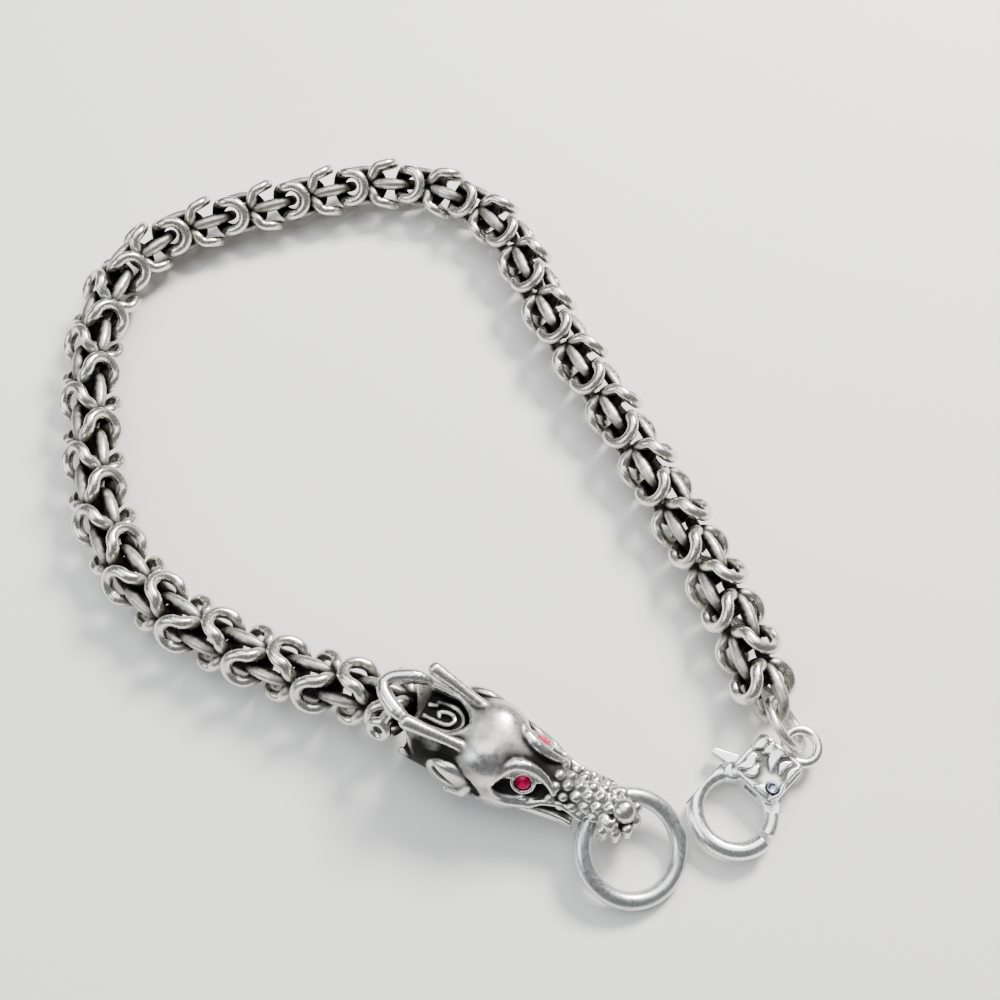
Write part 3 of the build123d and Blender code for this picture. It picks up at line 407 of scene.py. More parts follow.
class Clay:
    """A block of space that a form is sculpted in: at each grid point, the distance to the surface, which
    is negative inside."""

    def __init__(self, low, high, voxel):
        self.low, self.voxel = np.array(low), voxel
        counts = np.ceil((np.array(high) - self.low) / voxel).astype(int)
        spots = [(low[i] + voxel * np.arange(counts[i])).astype(np.float32) for i in range(3)]
        self.x, self.y, self.z = np.meshgrid(*spots, indexing="ij", sparse=True)
        self.far = np.full(counts, 9.0, dtype=np.float32)

    def add(self, form, soft=0.0):
        """Joins a form, with a fillet of about soft: the smaller distance, rounded where both are alike."""
        self.far = melt(self.far, form, soft)

    def cut(self, form, soft=0.0):
        """Takes a form away, with an edge rounded by about soft."""
        self.far = -melt(-self.far, form, soft)

    def about(self, centre, direction):
        """Height of each grid point along an axis from its centre, and its distance from the axis."""
        px, py, pz = self.x - centre[0], self.y - centre[1], self.z - centre[2]
        height = px * direction[0] + py * direction[1] + pz * direction[2]
        return height, np.sqrt(np.maximum(px**2 + py**2 + pz**2 - height**2, 0))

    def disc(self, centre, radius):
        """Outline of a circle, seen from above."""
        return np.hypot(self.x - centre[0], self.y - centre[1]) - radius

    def ball(self, centre, radii):
        """Ellipsoid along the axes: k0 (k0 - 1) / k1, where k0 and k1 are the point's length measured in
        radii and in radii squared."""
        axes = zip((self.x, self.y, self.z), centre, radii)
        steps = [(axis - spot) / radius for axis, spot, radius in axes]
        k0 = np.sqrt(sum(step**2 for step in steps)) + 1e-6
        k1 = np.sqrt(sum((step / radius) ** 2 for step, radius in zip(steps, radii))) + 1e-6
        return k0 * (k0 - 1) / k1

    def rod(self, start, end, first, last):
        """Round-ended tapered rod: distance to the segment, less a radius that runs from first to last."""
        start, end = np.array(start, float), np.array(end, float)
        along = end - start
        px, py, pz = self.x - start[0], self.y - start[1], self.z - start[2]
        share = np.clip((px * along[0] + py * along[1] + pz * along[2]) / (along @ along), 0, 1)
        return np.sqrt(
            (px - share * along[0]) ** 2 + (py - share * along[1]) ** 2 + (pz - share * along[2]) ** 2
        ) - (first + share * (last - first))

    def strand(self, rows, steps=1):
        """A rod through several points, in rows of x, y, z and radius. With more steps, a Catmull-Rom curve
        joins them."""
        knots = np.array(rows, float)
        if steps > 1:
            padded = np.vstack([2 * knots[0] - knots[1], knots, 2 * knots[-1] - knots[-2]])
            share = np.tile(np.arange(steps) / steps, len(knots) - 1)[:, None]
            before, first, last, after = (
                np.repeat(padded[i:i + len(knots) - 1], steps, axis=0) for i in range(4)
            )
            curve = first + share * (last - before) / 2 + share**2 * (
                before - 2.5 * first + 2 * last - after / 2
            ) + share**3 * (1.5 * first - before / 2 - 1.5 * last + after / 2)
            knots = np.vstack([curve, knots[-1]])
        form = None
        for start, end in zip(knots[:-1], knots[1:]):
            piece = self.rod(start[:3], end[:3], start[3], end[3])
            form = piece if form is None else np.minimum(form, piece)
        return form

    def mesh(self):
        """Points and outward quads of the surface where the distance is 0, without loose crumbs: each point
        takes the lowest label in its quads until none changes, and the most common label is kept."""
        grid = openvdb.FloatGrid()
        grid.copyFromArray(np.clip(self.far, -3, 3).astype(np.float32))
        points, quads = (np.asarray(part) for part in grid.convertToQuads())
        label, before = np.arange(len(points)), None
        while before is None or (label != before).any():
            before = label.copy()
            np.minimum.at(label, quads, label[quads].min(axis=1)[:, None])
            label = label[label]
        kept = label == np.bincount(label).argmax()
        quads = (np.cumsum(kept) - 1)[quads[kept[quads[:, 0]]]]
        return points[kept].astype(float) * self.voxel + self.low, quads

    def hollow(self, points, reach):
        """How deep each point sits in a hollow: the distance field there, averaged over about reach."""
        blurred = self.far.copy()
        width = max(1, int(round(reach / self.voxel)))
        for turn in range(2):
            for axis in range(3):
                padded = np.pad(
                    blurred, [(width + 1, width) if i == axis else (0, 0) for i in range(3)], mode="edge"
                )
                total = np.cumsum(padded, axis=axis, dtype=np.float64)
                ahead = np.take(total, np.arange(2 * width + 1, total.shape[axis]), axis=axis)
                behind = np.take(total, np.arange(0, total.shape[axis] - 2 * width - 1), axis=axis)
                blurred = ((ahead - behind) / (2 * width + 1)).astype(np.float32)
        spot = (points - self.low) / self.voxel
        cell = np.clip(spot.astype(int), 0, np.array(self.far.shape) - 2)
        part = spot - cell
        value = np.zeros(len(points))
        for corner in np.ndindex(2, 2, 2):
            weight = np.prod(np.where(corner, part, 1 - part), axis=1)
            index = cell + corner
            value += weight * blurred[index[:, 0], index[:, 1], index[:, 2]]
        return value


def melt(first, second, soft):
    """Smooth minimum of two distances: min(a, b) - h^2 k / 4, where k is soft and h is
    max(k - |a - b|, 0) / k."""
    if soft == 0:
        return np.minimum(first, second)
    near = np.maximum(soft - np.abs(first - second), 0) / soft
    return np.minimum(first, second) - near * near * soft / 4


def torus(height, radius, ring_radius, wire):
    """Distance to a round ring of round wire, from the height and the radius about its axis."""
    return np.sqrt((radius - ring_radius) ** 2 + height**2) - wire / 2


def head_row(along):
    """Half width, half height and middle height of the head at a distance along it."""
    return [np.interp(along, HEAD_SHAPE[:, 0], HEAD_SHAPE[:, i]) for i in (1, 2, 3)]


def sided(place, side):
    """A place on one side of the head: its y, the second value, is turned to that side."""
    return (place[0], side * place[1], *place[2:])


def side_ball(change, side, ball):
    """Adds or cuts a ball on one side of the head."""
    centre, radii, soft = ball
    change(head.ball(sided(centre, side), radii), soft)


def side_strand(change, side, rows, soft, steps=1):
    """Adds or cuts a strand on one side of the head."""
    change(head.strand([sided(row, side) for row in rows], steps), soft)


head = Clay(*HEAD_BLOCK, HEAD_VOXEL)
wide, high, middle = head_row(head.x)
body_form = (np.sqrt((head.y / wide) ** 2 + ((head.z - middle) / high) ** 2) - 1) * np.minimum(wide, high)
head.add(np.maximum(np.maximum(body_form, -head.x), head.x - HEAD_FRONT))
for side in (-1, 1):
    side_ball(head.add, side, SKULL_LOBE)
    side_ball(head.add, side, CHEEK)
    side_ball(head.add, side, EYE_SWELLING)
    side_strand(head.add, side, JAW, 0.3)
side_ball(head.add, 1, FOREHEAD)
# neck: its bore, the slanted cut under its rim, and what is open beside the arch
head.cut(np.maximum(np.sqrt(head.y**2 + head.z**2) - NECK_BORE, head.x - NECK_BORE_DEPTH), 0.15)
slanted = (head.x - NECK_SLANT_AT) * NECK_SLANT[0] + head.y * NECK_SLANT[1] + head.z * NECK_SLANT[2]
head.cut(slanted / np.linalg.norm(NECK_SLANT), 0.15)
head.cut(np.maximum(
    head.x - FAR_CUT_AT - ARCH_SLOPE * (head.y - ARCH_HALF),
    np.maximum(ARCH_HALF - head.y, FAR_CUT_DOWN_TO - head.z),
), 0.2)
head.cut(np.maximum(
    head.x - NEAR_CUT_AT + ARCH_SLOPE * (head.y + ARCH_HALF),
    np.maximum(head.y + ARCH_HALF, NEAR_CUT_DOWN_TO - head.z),
), 0.2)
side_ball(head.cut, 1, OPEN_FLANK)
# eye round the near end of the neck pin, held by the arch
head.add(torus(*head.about(PIN_END, unit(PIN_WAY)), PIN_EYE_RADIUS, PIN_EYE_WIRE))
head.add(head.strand(PIN_STAY), 0.15)
# window, with raised curls on its floor
narrow = WINDOW_HALF * np.clip((head.x - WINDOW_FROM) / WINDOW_POINT, 0, 1) ** 0.8 * np.sqrt(
    np.clip((WINDOW_ROUND_FROM - head.x) / WINDOW_ROUND, 0.0001, 1)
)
floor_height = FLOOR_HEIGHT + FLOOR_SLOPE * (head.x - FLOOR_AT)
window = np.maximum(np.maximum(np.abs(head.y) - narrow, floor_height - head.z), head.x - WINDOW_END)
head.cut(window, 0.25)
for curl, width in CURLS:
    curl_rows = [(x, y, CURL_HEIGHT + FLOOR_SLOPE * (x - FLOOR_AT), width) for x, y in curl]
    head.add(head.strand(curl_rows, 2), 0.1)
for side in (-1, 1):
    # rim of the arch, thick at its point and low along the window, then the horn
    side_strand(head.add, side, ARCH_RIM, 0.12, 3)
    side_strand(head.add, side, WINDOW_RIM, 0.15)
    side_strand(head.add, side, HORN, 0.18)
    # ear: a round leaf on the flank, with a raised edge inside its upper side
    side_strand(head.cut, side, OVER_EAR, 0.3)
    side_ball(head.add, side, EAR_LEAF)
    side_strand(head.add, side, EAR_LOBE, 0.25)
    side_strand(head.cut, side, EAR_GROOVE, 0.12)
    side_strand(head.cut, side, EAR_FOLD, 0.12)
    # eye hollow, an almond from the cheek to the snout, under the brow
    for hollow in EYE_HOLLOWS:
        side_ball(head.cut, side, hollow)
    side_strand(head.cut, side, UNDER_BROW, 0.12)
    side_strand(head.add, side, BROW, 0.18, 2)
    # lip, over a mouth that opens below it, and the lower jaw's edge with the lobe that the ring goes through
    side_strand(head.cut, side, MOUTH, 0.1)
    side_strand(head.add, side, LIP, 0.15)
    side_strand(head.cut, side, LIP_GROOVE, 0.1)
    side_strand(head.add, side, JAW_EDGE, 0.12)
    # nostril: a curled flare with a dark hole
    side_ball(head.add, side, NOSTRIL_FLARE)
    for hole in NOSTRIL_HOLES:
        side_ball(head.cut, side, hole)
    for turn in FRINGE_TURNS:
        spot = (FRINGE_AT + FRINGE_LONG * np.cos(turn), FRINGE_WIDE * np.sin(turn))
        foot = (spot[0] + FRINGE_LEAN, spot[1] * FRINGE_SPREAD)
        head.add(head.rod(
            sided((*spot, FRINGE_TOP), side), sided((*foot, FRINGE_FOOT), side), *FRINGE_RADII
        ), 0.08)
    for row in range(SNOUT_ROWS):
        spot = SCALES_FROM + row * SCALE_STEP
        row_wide, row_high, row_middle = head_row(spot)
        for place in ODD_ROW if row % 2 else EVEN_ROW:
            turn = np.radians(90 - place * SCALE_TURN)
            size = scale_sizes.uniform(0.85, 1.1)
            out = (row_wide - SCALE_SUNK) * np.cos(turn)
            rise = row_middle + (row_high - SCALE_SUNK) * np.sin(turn)
            side_ball(
                head.add, side, ((spot, out, rise), (SCALE_LONG * size, SCALE_WIDE * size, SCALE_HIGH), 0.1)
            )
side_ball(head.add, 1, NOSE_BALL)
# eye seats, each with a collar and a bezel round the stone's pocket
for side in (-1, 1):
    mirror = np.array((1, side, 1))
    centre, facing = EYE_AT * mirror, unit(EYE_FACING) * mirror
    seat_ends = [centre - facing * depth for depth in SEAT_DEPTHS]
    head.add(head.rod(*seat_ends, SEAT_RADIUS, SEAT_RADIUS), 0.15)
    height, radius = head.about(centre, facing)
    head.add(torus(height, radius, BEZEL_RADIUS, BEZEL_WIRE), 0.05)
    head.add(np.maximum(np.maximum(radius - COLLAR_RADIUS, height), -COLLAR_DEPTH - height), 0.1)
    head.cut(np.maximum(radius - POCKET_RADIUS, -POCKET_DEPTH - height))
# room for the mouth ring
turn = HEAD_DIRECTION + MOUTH_SKEW
mouth_forward = np.array([np.cos(turn), np.sin(turn), 0.0])
mouth_hinge = (
    np.array([*NECK_AT, MOUTH_HEIGHT]) + head_forward * MOUTH_AT[0] + head_left * MOUTH_AT[1] + table_shift
)
mouth_tilt = np.arcsin((MOUTH_HEIGHT - MOUTH_RING_WIRE / 2) / (MOUTH_REACH + MOUTH_RING_RADIUS))


def mouth_ring_frame(lift):
    """Middle, forward direction and normal of the mouth ring when it is lifted by an angle from the table."""
    forward = mouth_forward * np.cos(lift - mouth_tilt) + up * np.sin(lift - mouth_tilt)
    return mouth_hinge + forward * MOUTH_REACH, forward, np.cross(forward, np.cross(up, mouth_forward))


centre, forward, normal = mouth_ring_frame(MOUTH_SWING / 2)
height, radius = head.about(head_axes @ (centre - head_origin), head_axes @ normal)
play = MOUTH_CLEARANCE + (MOUTH_RING_RADIUS - MOUTH_REACH) * np.sin(MOUTH_SWING / 2)
head.cut(torus(height, radius, MOUTH_RING_RADIUS, MOUTH_RING_WIRE) - play, 0.1)

points, quads = head.mesh()
raised = head.hollow(points, FINE_REACH) + 0.5 * head.hollow(points, BROAD_REACH)
# painted shade: the neck's lower flanks, below the horns, are darkened on both sides where their shadow falls
neck_painted_shade = np.clip((SHADE_TO - points[:, 0]) / SHADE_FADE, 0, 1)
neck_painted_shade *= np.clip((SHADE_TOP - points[:, 2]) / SHADE_TOP_FADE, 0, 1)
raised -= NECK_PAINTED_SHADE * neck_painted_shade
head_piece = smooth_piece(
    "dragon_head_casting", points @ head_axes + head_origin, quads, "bracelet", "dragon_head",
    raised=raised,
)
head_silver = antique_silver(
    "antiqued head silver", "raised", HEAD_WEAR, (0.022, 0.021, 0.02), (0.68, 0.67, 0.64), 0.24, 1100.0
)
head_piece.data.materials.append(head_silver)

# Mouth ring: a plain cast ring of round silver bar, satin from wear, that turns in the dragon's jaws.
# The clasp's hook closes on it.
RING_STEPS, RING_SIDES = 128, 40
RING_WEAR = (0.4, 1.1)
angle = np.linspace(0, 2 * np.pi, RING_STEPS, endpoint=False)[:, None]
centre, forward, normal = mouth_ring_frame(0)
sideways = np.cross(normal, forward)
ring_line = centre + MOUTH_RING_RADIUS * (np.cos(angle) * forward + np.sin(angle) * sideways)
ring_points = ring_tube(ring_line, MOUTH_RING_WIRE / 2, RING_SIDES).reshape(-1, 3)
mouth_ring_piece = smooth_piece(
    "jaw_ring", ring_points, closed_grid_faces(RING_STEPS, RING_SIDES, 1), "ring", "mouth_ring",
    out=np.ones(len(ring_points)),
)
ring_silver = antique_silver(
    "satin ring silver", "out", RING_WEAR, (0.12, 0.12, 0.12), (0.66, 0.67, 0.67), 0.3, 1500.0
)
mouth_ring_piece.data.materials.append(ring_silver)

# Eye stones: two small red cut stones, eight-sided with a table, crown and pavilion, set in the bezels.
# Their red goes from dark to light in cells: painted light and shade that stand in for the play of light from
# facet to facet.
STONE_CELLS = 1500.0


def dress(node, material):
    """Gives a CAD piece its only material."""
    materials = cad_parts[node].data.materials
    materials.clear()
    materials.append(material)


stone_red = bpy.data.materials.new("eye stone red")
stone_red.use_nodes = True
tree = stone_red.node_tree
shader = tree.nodes["Principled BSDF"]
place = tree.nodes.new("ShaderNodeTexCoord")
cells = node_of(tree, "ShaderNodeTexVoronoi", Scale=STONE_CELLS)
tree.links.new(place.outputs["Object"], cells.inputs["Vector"])
# painted light and shade: cells of dark and light red in place of the facets' reflections
facet_light_ramp = node_of(tree, "ShaderNodeMapRange", From_Min=0.0, From_Max=1.0)
tree.links.new(cells.outputs["Color"], facet_light_ramp.inputs["Value"])
tint = node_of(tree, "ShaderNodeMix", data_type="RGBA")
tint.inputs["A"].default_value = (0.10, 0.0, 0.015, 1)
tint.inputs["B"].default_value = (0.72, 0.0, 0.11, 1)
tree.links.new(facet_light_ramp.outputs["Result"], tint.inputs["Factor"])
tree.links.new(tint.outputs["Result"], shader.inputs["Base Color"])
shader.inputs["Roughness"].default_value = 0.08
shader.inputs["IOR"].default_value = 1.6
shader.inputs["Specular IOR Level"].default_value = 0.15
for node in ("left_eye", "right_eye"):
    dress(node, stone_red)

# Neck pin and end ring: plain round silver wire, drawn and left a little dull.
# The pin is blackened, as it lies in the neck's hollow.
PLAIN_WEAR = (0.0, 1.0)
wire_silver = antique_silver(
    "drawn wire silver", None, PLAIN_WEAR, (0.05, 0.05, 0.045), (0.84, 0.82, 0.77), 0.28, 1800.0
)
pin_silver = antique_silver(
    "blackened pin silver", None, PLAIN_WEAR, (0.02, 0.02, 0.02), (0.09, 0.088, 0.085), 0.4, 1800.0
)
dress("end_ring", wire_silver)
dress("neck_pin", pin_silver)

# Clasp body: one casting of the plate with raised leaves, the round hook, its shoulder and the eye at the
# back. The plate is slotted for the lever, and its top is worn bright over grey hollows.
CLASP_DIRECTION = np.radians(45)
CLASP_BLOCK, CLASP_VOXEL = ((-4.1, -4.1, -0.15), (10.1, 3.2, 3.05)), 0.06
CLASP_THICK, SLOT_HEIGHT, LEAF_RISE = 2.7, 1.0, 0.24
HOOK_RADIUS, HOOK_WIRE = 3.15, 1.45
HOOK_FROM, HOOK_TO = np.radians(42), np.radians(266)
PLATE_LOW, PLATE_HIGH, PLATE_CORNER, PLATE_EDGE = (2.15, -1.95), (6.6, 2.5), 0.7, 0.24
SHOULDER_RADIUS, SHOULDER_LOW, SHOULDER_HIGH, SHOULDER_EDGE = 0.8, 0.5, 2.2, 0.25
RIVET_AT, RIVET_RADIUS, RIVET_CLEARANCE = (3.3, -1.02), 0.45, 0.05
DISH_RADIUS, DISH_TOP = 0.58, 2.9
EYE_RING_AT, EYE_RING_RADIUS, EYE_RING_WIRE = (7.99, -0.57, 1.7), 1.4, 0.85
# the slot's two parts: round the rivet, and up to the thumb tab
SLOT_BOXES = ((1.6, -3.2), (5.2, 0.7)), ((2.5, 0.6), (8.2, 4.5))
# leaves on the plate: rows of x, y and radius, at one height
LEAF_HEIGHT = 2.5
LEAVES = (
    [(2.75, 2.0, 0.2), (3.5, 1.55, 0.42), (4.2, 1.75, 0.34), (4.4, 1.2, 0.12)],
    [(2.75, 1.25, 0.16), (3.2, 0.85, 0.34), (3.9, 0.95, 0.14)],
    [(4.9, 2.1, 0.2), (5.5, 1.9, 0.4), (6.1, 1.95, 0.2)],
    [(5.1, 1.3, 0.14), (5.6, 1.1, 0.36), (6.2, 1.3, 0.16)],
    [(4.4, -0.1, 0.14), (5.0, 0.35, 0.38), (5.9, 0.4, 0.4), (6.2, -0.1, 0.14)],
    [(4.7, -0.75, 0.12), (5.3, -0.5, 0.34), (5.9, -0.8, 0.2)],
    [(4.6, -1.5, 0.16), (5.3, -1.35, 0.3), (6.0, -1.5, 0.2)],
    [(2.5, 0.1, 0.12), (2.7, -0.5, 0.3), (2.6, -1.1, 0.14)],
    [(2.6, -1.5, 0.16), (3.3, -1.65, 0.24), (4.1, -1.5, 0.18)],
)
CLASP_FINE_REACH, CLASP_BROAD_REACH = 0.2, 0.5
CLASP_WEAR = (-0.035, 0.03)
clasp_axes = np.array([
    (np.cos(CLASP_DIRECTION), np.sin(CLASP_DIRECTION), 0),
    (-np.sin(CLASP_DIRECTION), np.cos(CLASP_DIRECTION), 0),
    (0, 0, 1),
])
rivet_box = np.array(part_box("clasp_rivet")) / MM
rivet_foot = np.array([*rivet_box.mean(axis=0)[:2], rivet_box[0, 2]])
clasp_origin = rivet_foot - np.array([*RIVET_AT, 0]) @ clasp_axes


def slab(outline, z, low, high, edge):
    """Upright prism with rounded edges: the outline's distance and the height's, joined by a quarter
    circle."""
    side = outline + edge
    cap = np.abs(z - (low + high) / 2) - (high - low) / 2 + edge
    return np.minimum(np.maximum(side, cap), 0) + np.hypot(np.maximum(side, 0), np.maximum(cap, 0)) - edge


def flat_box(clay, low, high, corner=0.0):
    """Outline of a rectangle with round corners, seen from above."""
    side = [
        np.abs(axis - (low[i] + high[i]) / 2) - (high[i] - low[i]) / 2 + corner
        for i, axis in enumerate((clay.x, clay.y))
    ]
    outside = np.hypot(np.maximum(side[0], 0), np.maximum(side[1], 0))
    return outside + np.minimum(np.maximum(*side), 0) - corner


def bar_arc(clay, radius, wire, first, last):
    """Round bar bent to an arc about the clasp's middle, from one angle on to another less than a turn
    further."""
    ring = np.hypot(np.hypot(clay.x, clay.y) - radius, clay.z - CLASP_THICK / 2) - wire / 2
    after_last = -clay.x * np.sin(last) + clay.y * np.cos(last)
    before_first = clay.x * np.sin(first) - clay.y * np.cos(first)
    if last - first > np.pi:
        return np.maximum(ring, np.minimum(after_last, before_first))
    return np.maximum(ring, np.maximum(after_last, before_first))


clasp = Clay(*CLASP_BLOCK, CLASP_VOXEL)
clasp.add(bar_arc(clasp, HOOK_RADIUS, HOOK_WIRE, HOOK_FROM, HOOK_TO))
plate = flat_box(clasp, PLATE_LOW, PLATE_HIGH, PLATE_CORNER)
clasp.add(slab(plate, clasp.z, 0, CLASP_THICK - LEAF_RISE, PLATE_EDGE), 0.3)
shoulder = (HOOK_RADIUS * np.cos(HOOK_FROM), HOOK_RADIUS * np.sin(HOOK_FROM))
clasp.add(slab(
    clasp.disc(shoulder, SHOULDER_RADIUS), clasp.z, SHOULDER_LOW, SHOULDER_HIGH, SHOULDER_EDGE
), 0.3)
eye_ring = clasp.disc(EYE_RING_AT, EYE_RING_RADIUS)
clasp.add(np.hypot(eye_ring, clasp.z - EYE_RING_AT[2]) - EYE_RING_WIRE / 2, 0.12)
for leaf in LEAVES:
    clasp.add(clasp.strand([(x, y, LEAF_HEIGHT, radius) for x, y, radius in leaf], 3), 0.15)
# the leaves end flat at the plate's full height, and the rivet's head lies in a dish
clasp.cut(CLASP_THICK - clasp.z, 0.06)
clasp.cut(clasp.rod((*RIVET_AT, CLASP_THICK), (*RIVET_AT, DISH_TOP), DISH_RADIUS, DISH_RADIUS), 0.1)
slot = np.minimum(*(flat_box(clasp, *corners) for corners in SLOT_BOXES))
clasp.cut(slab(slot, clasp.z, (CLASP_THICK - SLOT_HEIGHT) / 2, (CLASP_THICK + SLOT_HEIGHT) / 2, 0.02))
clasp.cut(clasp.disc(RIVET_AT, RIVET_RADIUS) - RIVET_CLEARANCE)
points, quads = clasp.mesh()
raised = clasp.hollow(points, CLASP_FINE_REACH) + 0.4 * clasp.hollow(points, CLASP_BROAD_REACH)
on_plate = (
    (points[:, 0] > PLATE_LOW[0]) & (points[:, 0] < PLATE_HIGH[0])
    & (points[:, 2] > CLASP_THICK - 1.5 * LEAF_RISE)
)
over_plate = np.clip(points[:, 2] - CLASP_THICK + LEAF_RISE / 2, -0.15, 0.15)
raised += 0.3 * np.where(on_plate, over_plate, 0)
clasp_piece = smooth_piece(
    "lobster_clasp_casting", points @ clasp_axes + clasp_origin, quads, "bracelet", "clasp_body",
    raised=raised,
)
clasp_silver = antique_silver(
    "worn clasp silver", "raised", CLASP_WEAR, (0.14, 0.14, 0.135), (0.86, 0.86, 0.85), 0.24, 1500.0
)
clasp_piece.data.materials.append(clasp_silver)

# Clasp lever: one cast silver lever that turns on the rivet.
# It has a tab for the thumb at one end and the hook's gate at the other, with a blade between gate and boss.
LEVER_BLOCK, LEVER_VOXEL = ((-0.2, -4.2, 0.5), (5.0, 5.0, 2.2)), 0.05
LEVER_THICK, LEVER_EDGE, BOSS_RADIUS = 0.84, 0.09, 0.9
GATE_RADIUS, GATE_WIRE, GATE_CLEARANCE = 3.05, 1.36, 0.1
GATE_FROM, GATE_END = np.radians(-48), np.radians(-84)
BLADE_TURN, BLADE_REACH = np.radians(-30.5), 0.93
# arm and tab: they lean back as they rise along y, and the tab also tapers
ARM_TOP, ARM_MIDDLE, ARM_REACH, ARM_LEAN, ARM_HALF = 2.6, 0.8, 1.82, 0.1, 0.41
TAB_FOOT, TAB_LONG, TAB_MIDDLE, TAB_REACH = 2.5, 2.0, 3.5, 0.98
TAB_AT, TAB_LEAN, TAB_HALF, TAB_TAPER = 3.2, 0.65, 0.6, 0.34
LEVER_REACH = 0.25
LEVER_WEAR = (-0.1, 0.02)
lever = Clay(*LEVER_BLOCK, LEVER_VOXEL)
lever_low, lever_high = (CLASP_THICK - LEVER_THICK) / 2, (CLASP_THICK + LEVER_THICK) / 2
boss = lever.disc(RIVET_AT, BOSS_RADIUS)
share = np.clip((lever.y - RIVET_AT[1]) / (ARM_TOP - RIVET_AT[1]), 0, 1)
arm = np.maximum(
    np.abs(lever.x - (RIVET_AT[0] - ARM_LEAN * share)) - ARM_HALF, np.abs(lever.y - ARM_MIDDLE) - ARM_REACH
)
share = np.clip((lever.y - TAB_FOOT) / TAB_LONG, 0, 1)
tab = np.maximum(
    np.abs(lever.x - (TAB_AT - TAB_LEAN * share)) - (TAB_HALF - TAB_TAPER * share),
    np.abs(lever.y - TAB_MIDDLE) - TAB_REACH,
)
around, turn = np.hypot(lever.x, lever.y), np.arctan2(lever.y, lever.x)
blade = np.maximum(
    np.abs(around - GATE_RADIUS) - GATE_WIRE / 2, np.abs(turn - BLADE_TURN) * GATE_RADIUS - BLADE_REACH
)
outline = np.minimum(np.minimum(boss, arm), np.minimum(tab, blade))
lever.add(slab(outline, lever.z, lever_low, lever_high, LEVER_EDGE))
hook_end = (HOOK_RADIUS - HOOK_WIRE / 2) * np.array([np.cos(HOOK_TO), np.sin(HOOK_TO)])
gate_reach = np.linalg.norm(hook_end - RIVET_AT) - GATE_CLEARANCE
gate = bar_arc(lever, GATE_RADIUS, GATE_WIRE, GATE_END, GATE_FROM)
lever.add(np.maximum(gate, lever.disc(RIVET_AT, gate_reach)), 0.05)
lever.cut(lever.disc(RIVET_AT, RIVET_RADIUS) - RIVET_CLEARANCE)
points, quads = lever.mesh()
lever_piece = smooth_piece(
    "thumb_lever", points @ clasp_axes + clasp_origin, quads, "lever", "clasp_lever",
    raised=lever.hollow(points, LEVER_REACH),
)
lever_silver = antique_silver(
    "pale lever silver", "raised", LEVER_WEAR, (0.07, 0.07, 0.065), (0.84, 0.85, 0.85), 0.3, 1500.0
)
lever_piece.data.materials.append(lever_silver)

# Clasp rivet: a turned steel pin through the clasp's cheeks.
# Its foot is flat and its head is slightly dished inside a bright edge.
RIVET_SIDES = 40
# rows of radius and height, from the foot's middle to the head's
RIVET_PROFILE = np.array([
    (0.0, 0.0), (0.36, 0.0), (0.43, 0.03), (0.45, 0.09), (0.45, 2.62), (0.44, 2.67), (0.41, 2.7),
    (0.36, 2.69), (0.32, 2.64), (0.2, 2.61), (0.0, 2.6),
])
turn = np.linspace(0, 2 * np.pi, RIVET_SIDES, endpoint=False)
across, tall = RIVET_PROFILE[:, :1], RIVET_PROFILE[:, 1:]
rivet_points = np.stack([
    across * np.cos(turn), across * np.sin(turn), np.repeat(tall, RIVET_SIDES, axis=1)
], axis=-1)
rivet_place = clasp_origin + np.array([*RIVET_AT, 0]) @ clasp_axes
last_row = len(RIVET_PROFILE) - 1
row, step = np.meshgrid(np.arange(1, last_row - 1), np.arange(RIVET_SIDES), indexing="ij")
after = (step + 1) % RIVET_SIDES
rivet_quads = np.stack([
    row * RIVET_SIDES + step, row * RIVET_SIDES + after,
    (row + 1) * RIVET_SIDES + after, (row + 1) * RIVET_SIDES + step,
], axis=-1).reshape(-1, 4)
head_rim, head_middle = (last_row - 1) * RIVET_SIDES, last_row * RIVET_SIDES
rivet_caps = [[0, RIVET_SIDES + (k + 1) % RIVET_SIDES, RIVET_SIDES + k] for k in range(RIVET_SIDES)]
rivet_caps += [[head_middle, head_rim + k, head_rim + (k + 1) % RIVET_SIDES] for k in range(RIVET_SIDES)]
rivet_mesh = bpy.data.meshes.new("rivet_pin")
rivet_mesh.from_pydata(
    ((rivet_points.reshape(-1, 3) + rivet_place) * MM).tolist(), [], rivet_quads.tolist() + rivet_caps
)
rivet_mesh.validate()
rivet_piece = bpy.data.objects.new("rivet_pin", rivet_mesh)
bpy.context.scene.collection.objects.link(rivet_piece)
rivet_mesh.polygons.foreach_set("use_smooth", np.ones(len(rivet_mesh.polygons), dtype=bool))
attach(rivet_piece, "bracelet")
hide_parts("clasp_rivet")
rivet_mesh.materials.append(antique_silver(
    "rivet steel", None, PLAIN_WEAR, (0.03, 0.035, 0.045), (0.30, 0.34, 0.42), 0.25, 1800.0
))

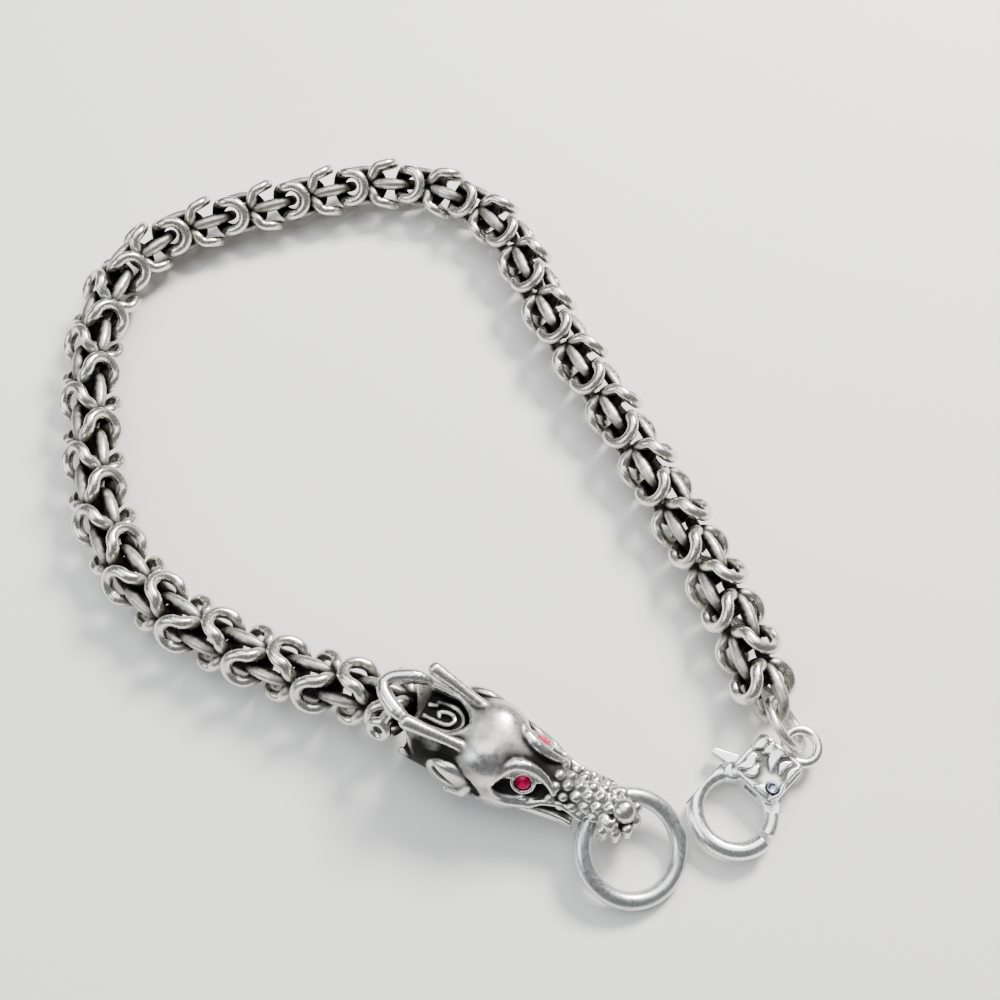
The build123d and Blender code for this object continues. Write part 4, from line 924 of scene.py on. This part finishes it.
# Floor, light and camera, as the photograph is taken: from above and in front, close by, on a pale floor
# under three soft lights. The camera's opening is given in pixels of the photograph.
CAMERA_HEIGHT, CAMERA_ELEVATION = 92.0, np.radians(63)
HALF_PICTURE, FOCAL_LENGTH = 500, 1090
floor = bpy.data.meshes.new("floor")
floor.from_pydata([(-1, -1, 0), (1, -1, 0), (1, 1, 0), (-1, 1, 0)], [], [(0, 1, 2, 3)])
floor_piece = bpy.data.objects.new("floor", floor)
bpy.context.scene.collection.objects.link(floor_piece)
floor_colour = bpy.data.materials.new("pale floor")
floor_colour.use_nodes = True
shader = floor_colour.node_tree.nodes["Principled BSDF"]
shader.inputs["Base Color"].default_value = (0.86, 0.85, 0.83, 1)
shader.inputs["Roughness"].default_value = 0.9
floor.materials.append(floor_colour)

world = bpy.data.worlds.new("studio")
bpy.context.scene.world = world
world.use_nodes = True
world.node_tree.nodes["Background"].inputs["Color"].default_value = (0.80, 0.83, 0.88, 1)
world.node_tree.nodes["Background"].inputs["Strength"].default_value = 0.28


def soft_light(name, place, size, power, colour):
    """A square soft light that faces the middle of the bracelet."""
    light = bpy.data.lights.new(name, "AREA")
    light.size, light.energy, light.color = size, power, colour
    lamp = bpy.data.objects.new(name, light)
    backward = unit(np.array(place, float))
    across = unit(np.cross(up, backward))
    matrix = np.eye(4)
    matrix[:3] = np.column_stack([across, np.cross(backward, across), backward, place])
    lamp.matrix_world = Matrix(matrix.tolist())
    bpy.context.scene.collection.objects.link(lamp)


soft_light("key", (0.16, 0.20, 0.24), 0.10, 3.0, (1.0, 0.97, 0.92))
soft_light("top", (-0.02, 0.10, 0.34), 0.32, 1.1, (0.96, 0.98, 1.0))
soft_light("fill", (-0.25, -0.10, 0.22), 0.2, 0.5, (0.9, 0.95, 1.0))

camera = bpy.data.cameras.new("camera")
camera.angle = 2 * np.arctan(HALF_PICTURE / FOCAL_LENGTH)
camera.clip_start = 0.001
camera_object = bpy.data.objects.new("camera", camera)
bpy.context.scene.collection.objects.link(camera_object)
eye = np.array([0, -CAMERA_HEIGHT / np.tan(CAMERA_ELEVATION), CAMERA_HEIGHT]) + table_shift
camera_object.location = eye * MM
camera_object.rotation_euler = (np.pi / 2 - CAMERA_ELEVATION, 0, 0)
bpy.context.scene.camera = camera_object
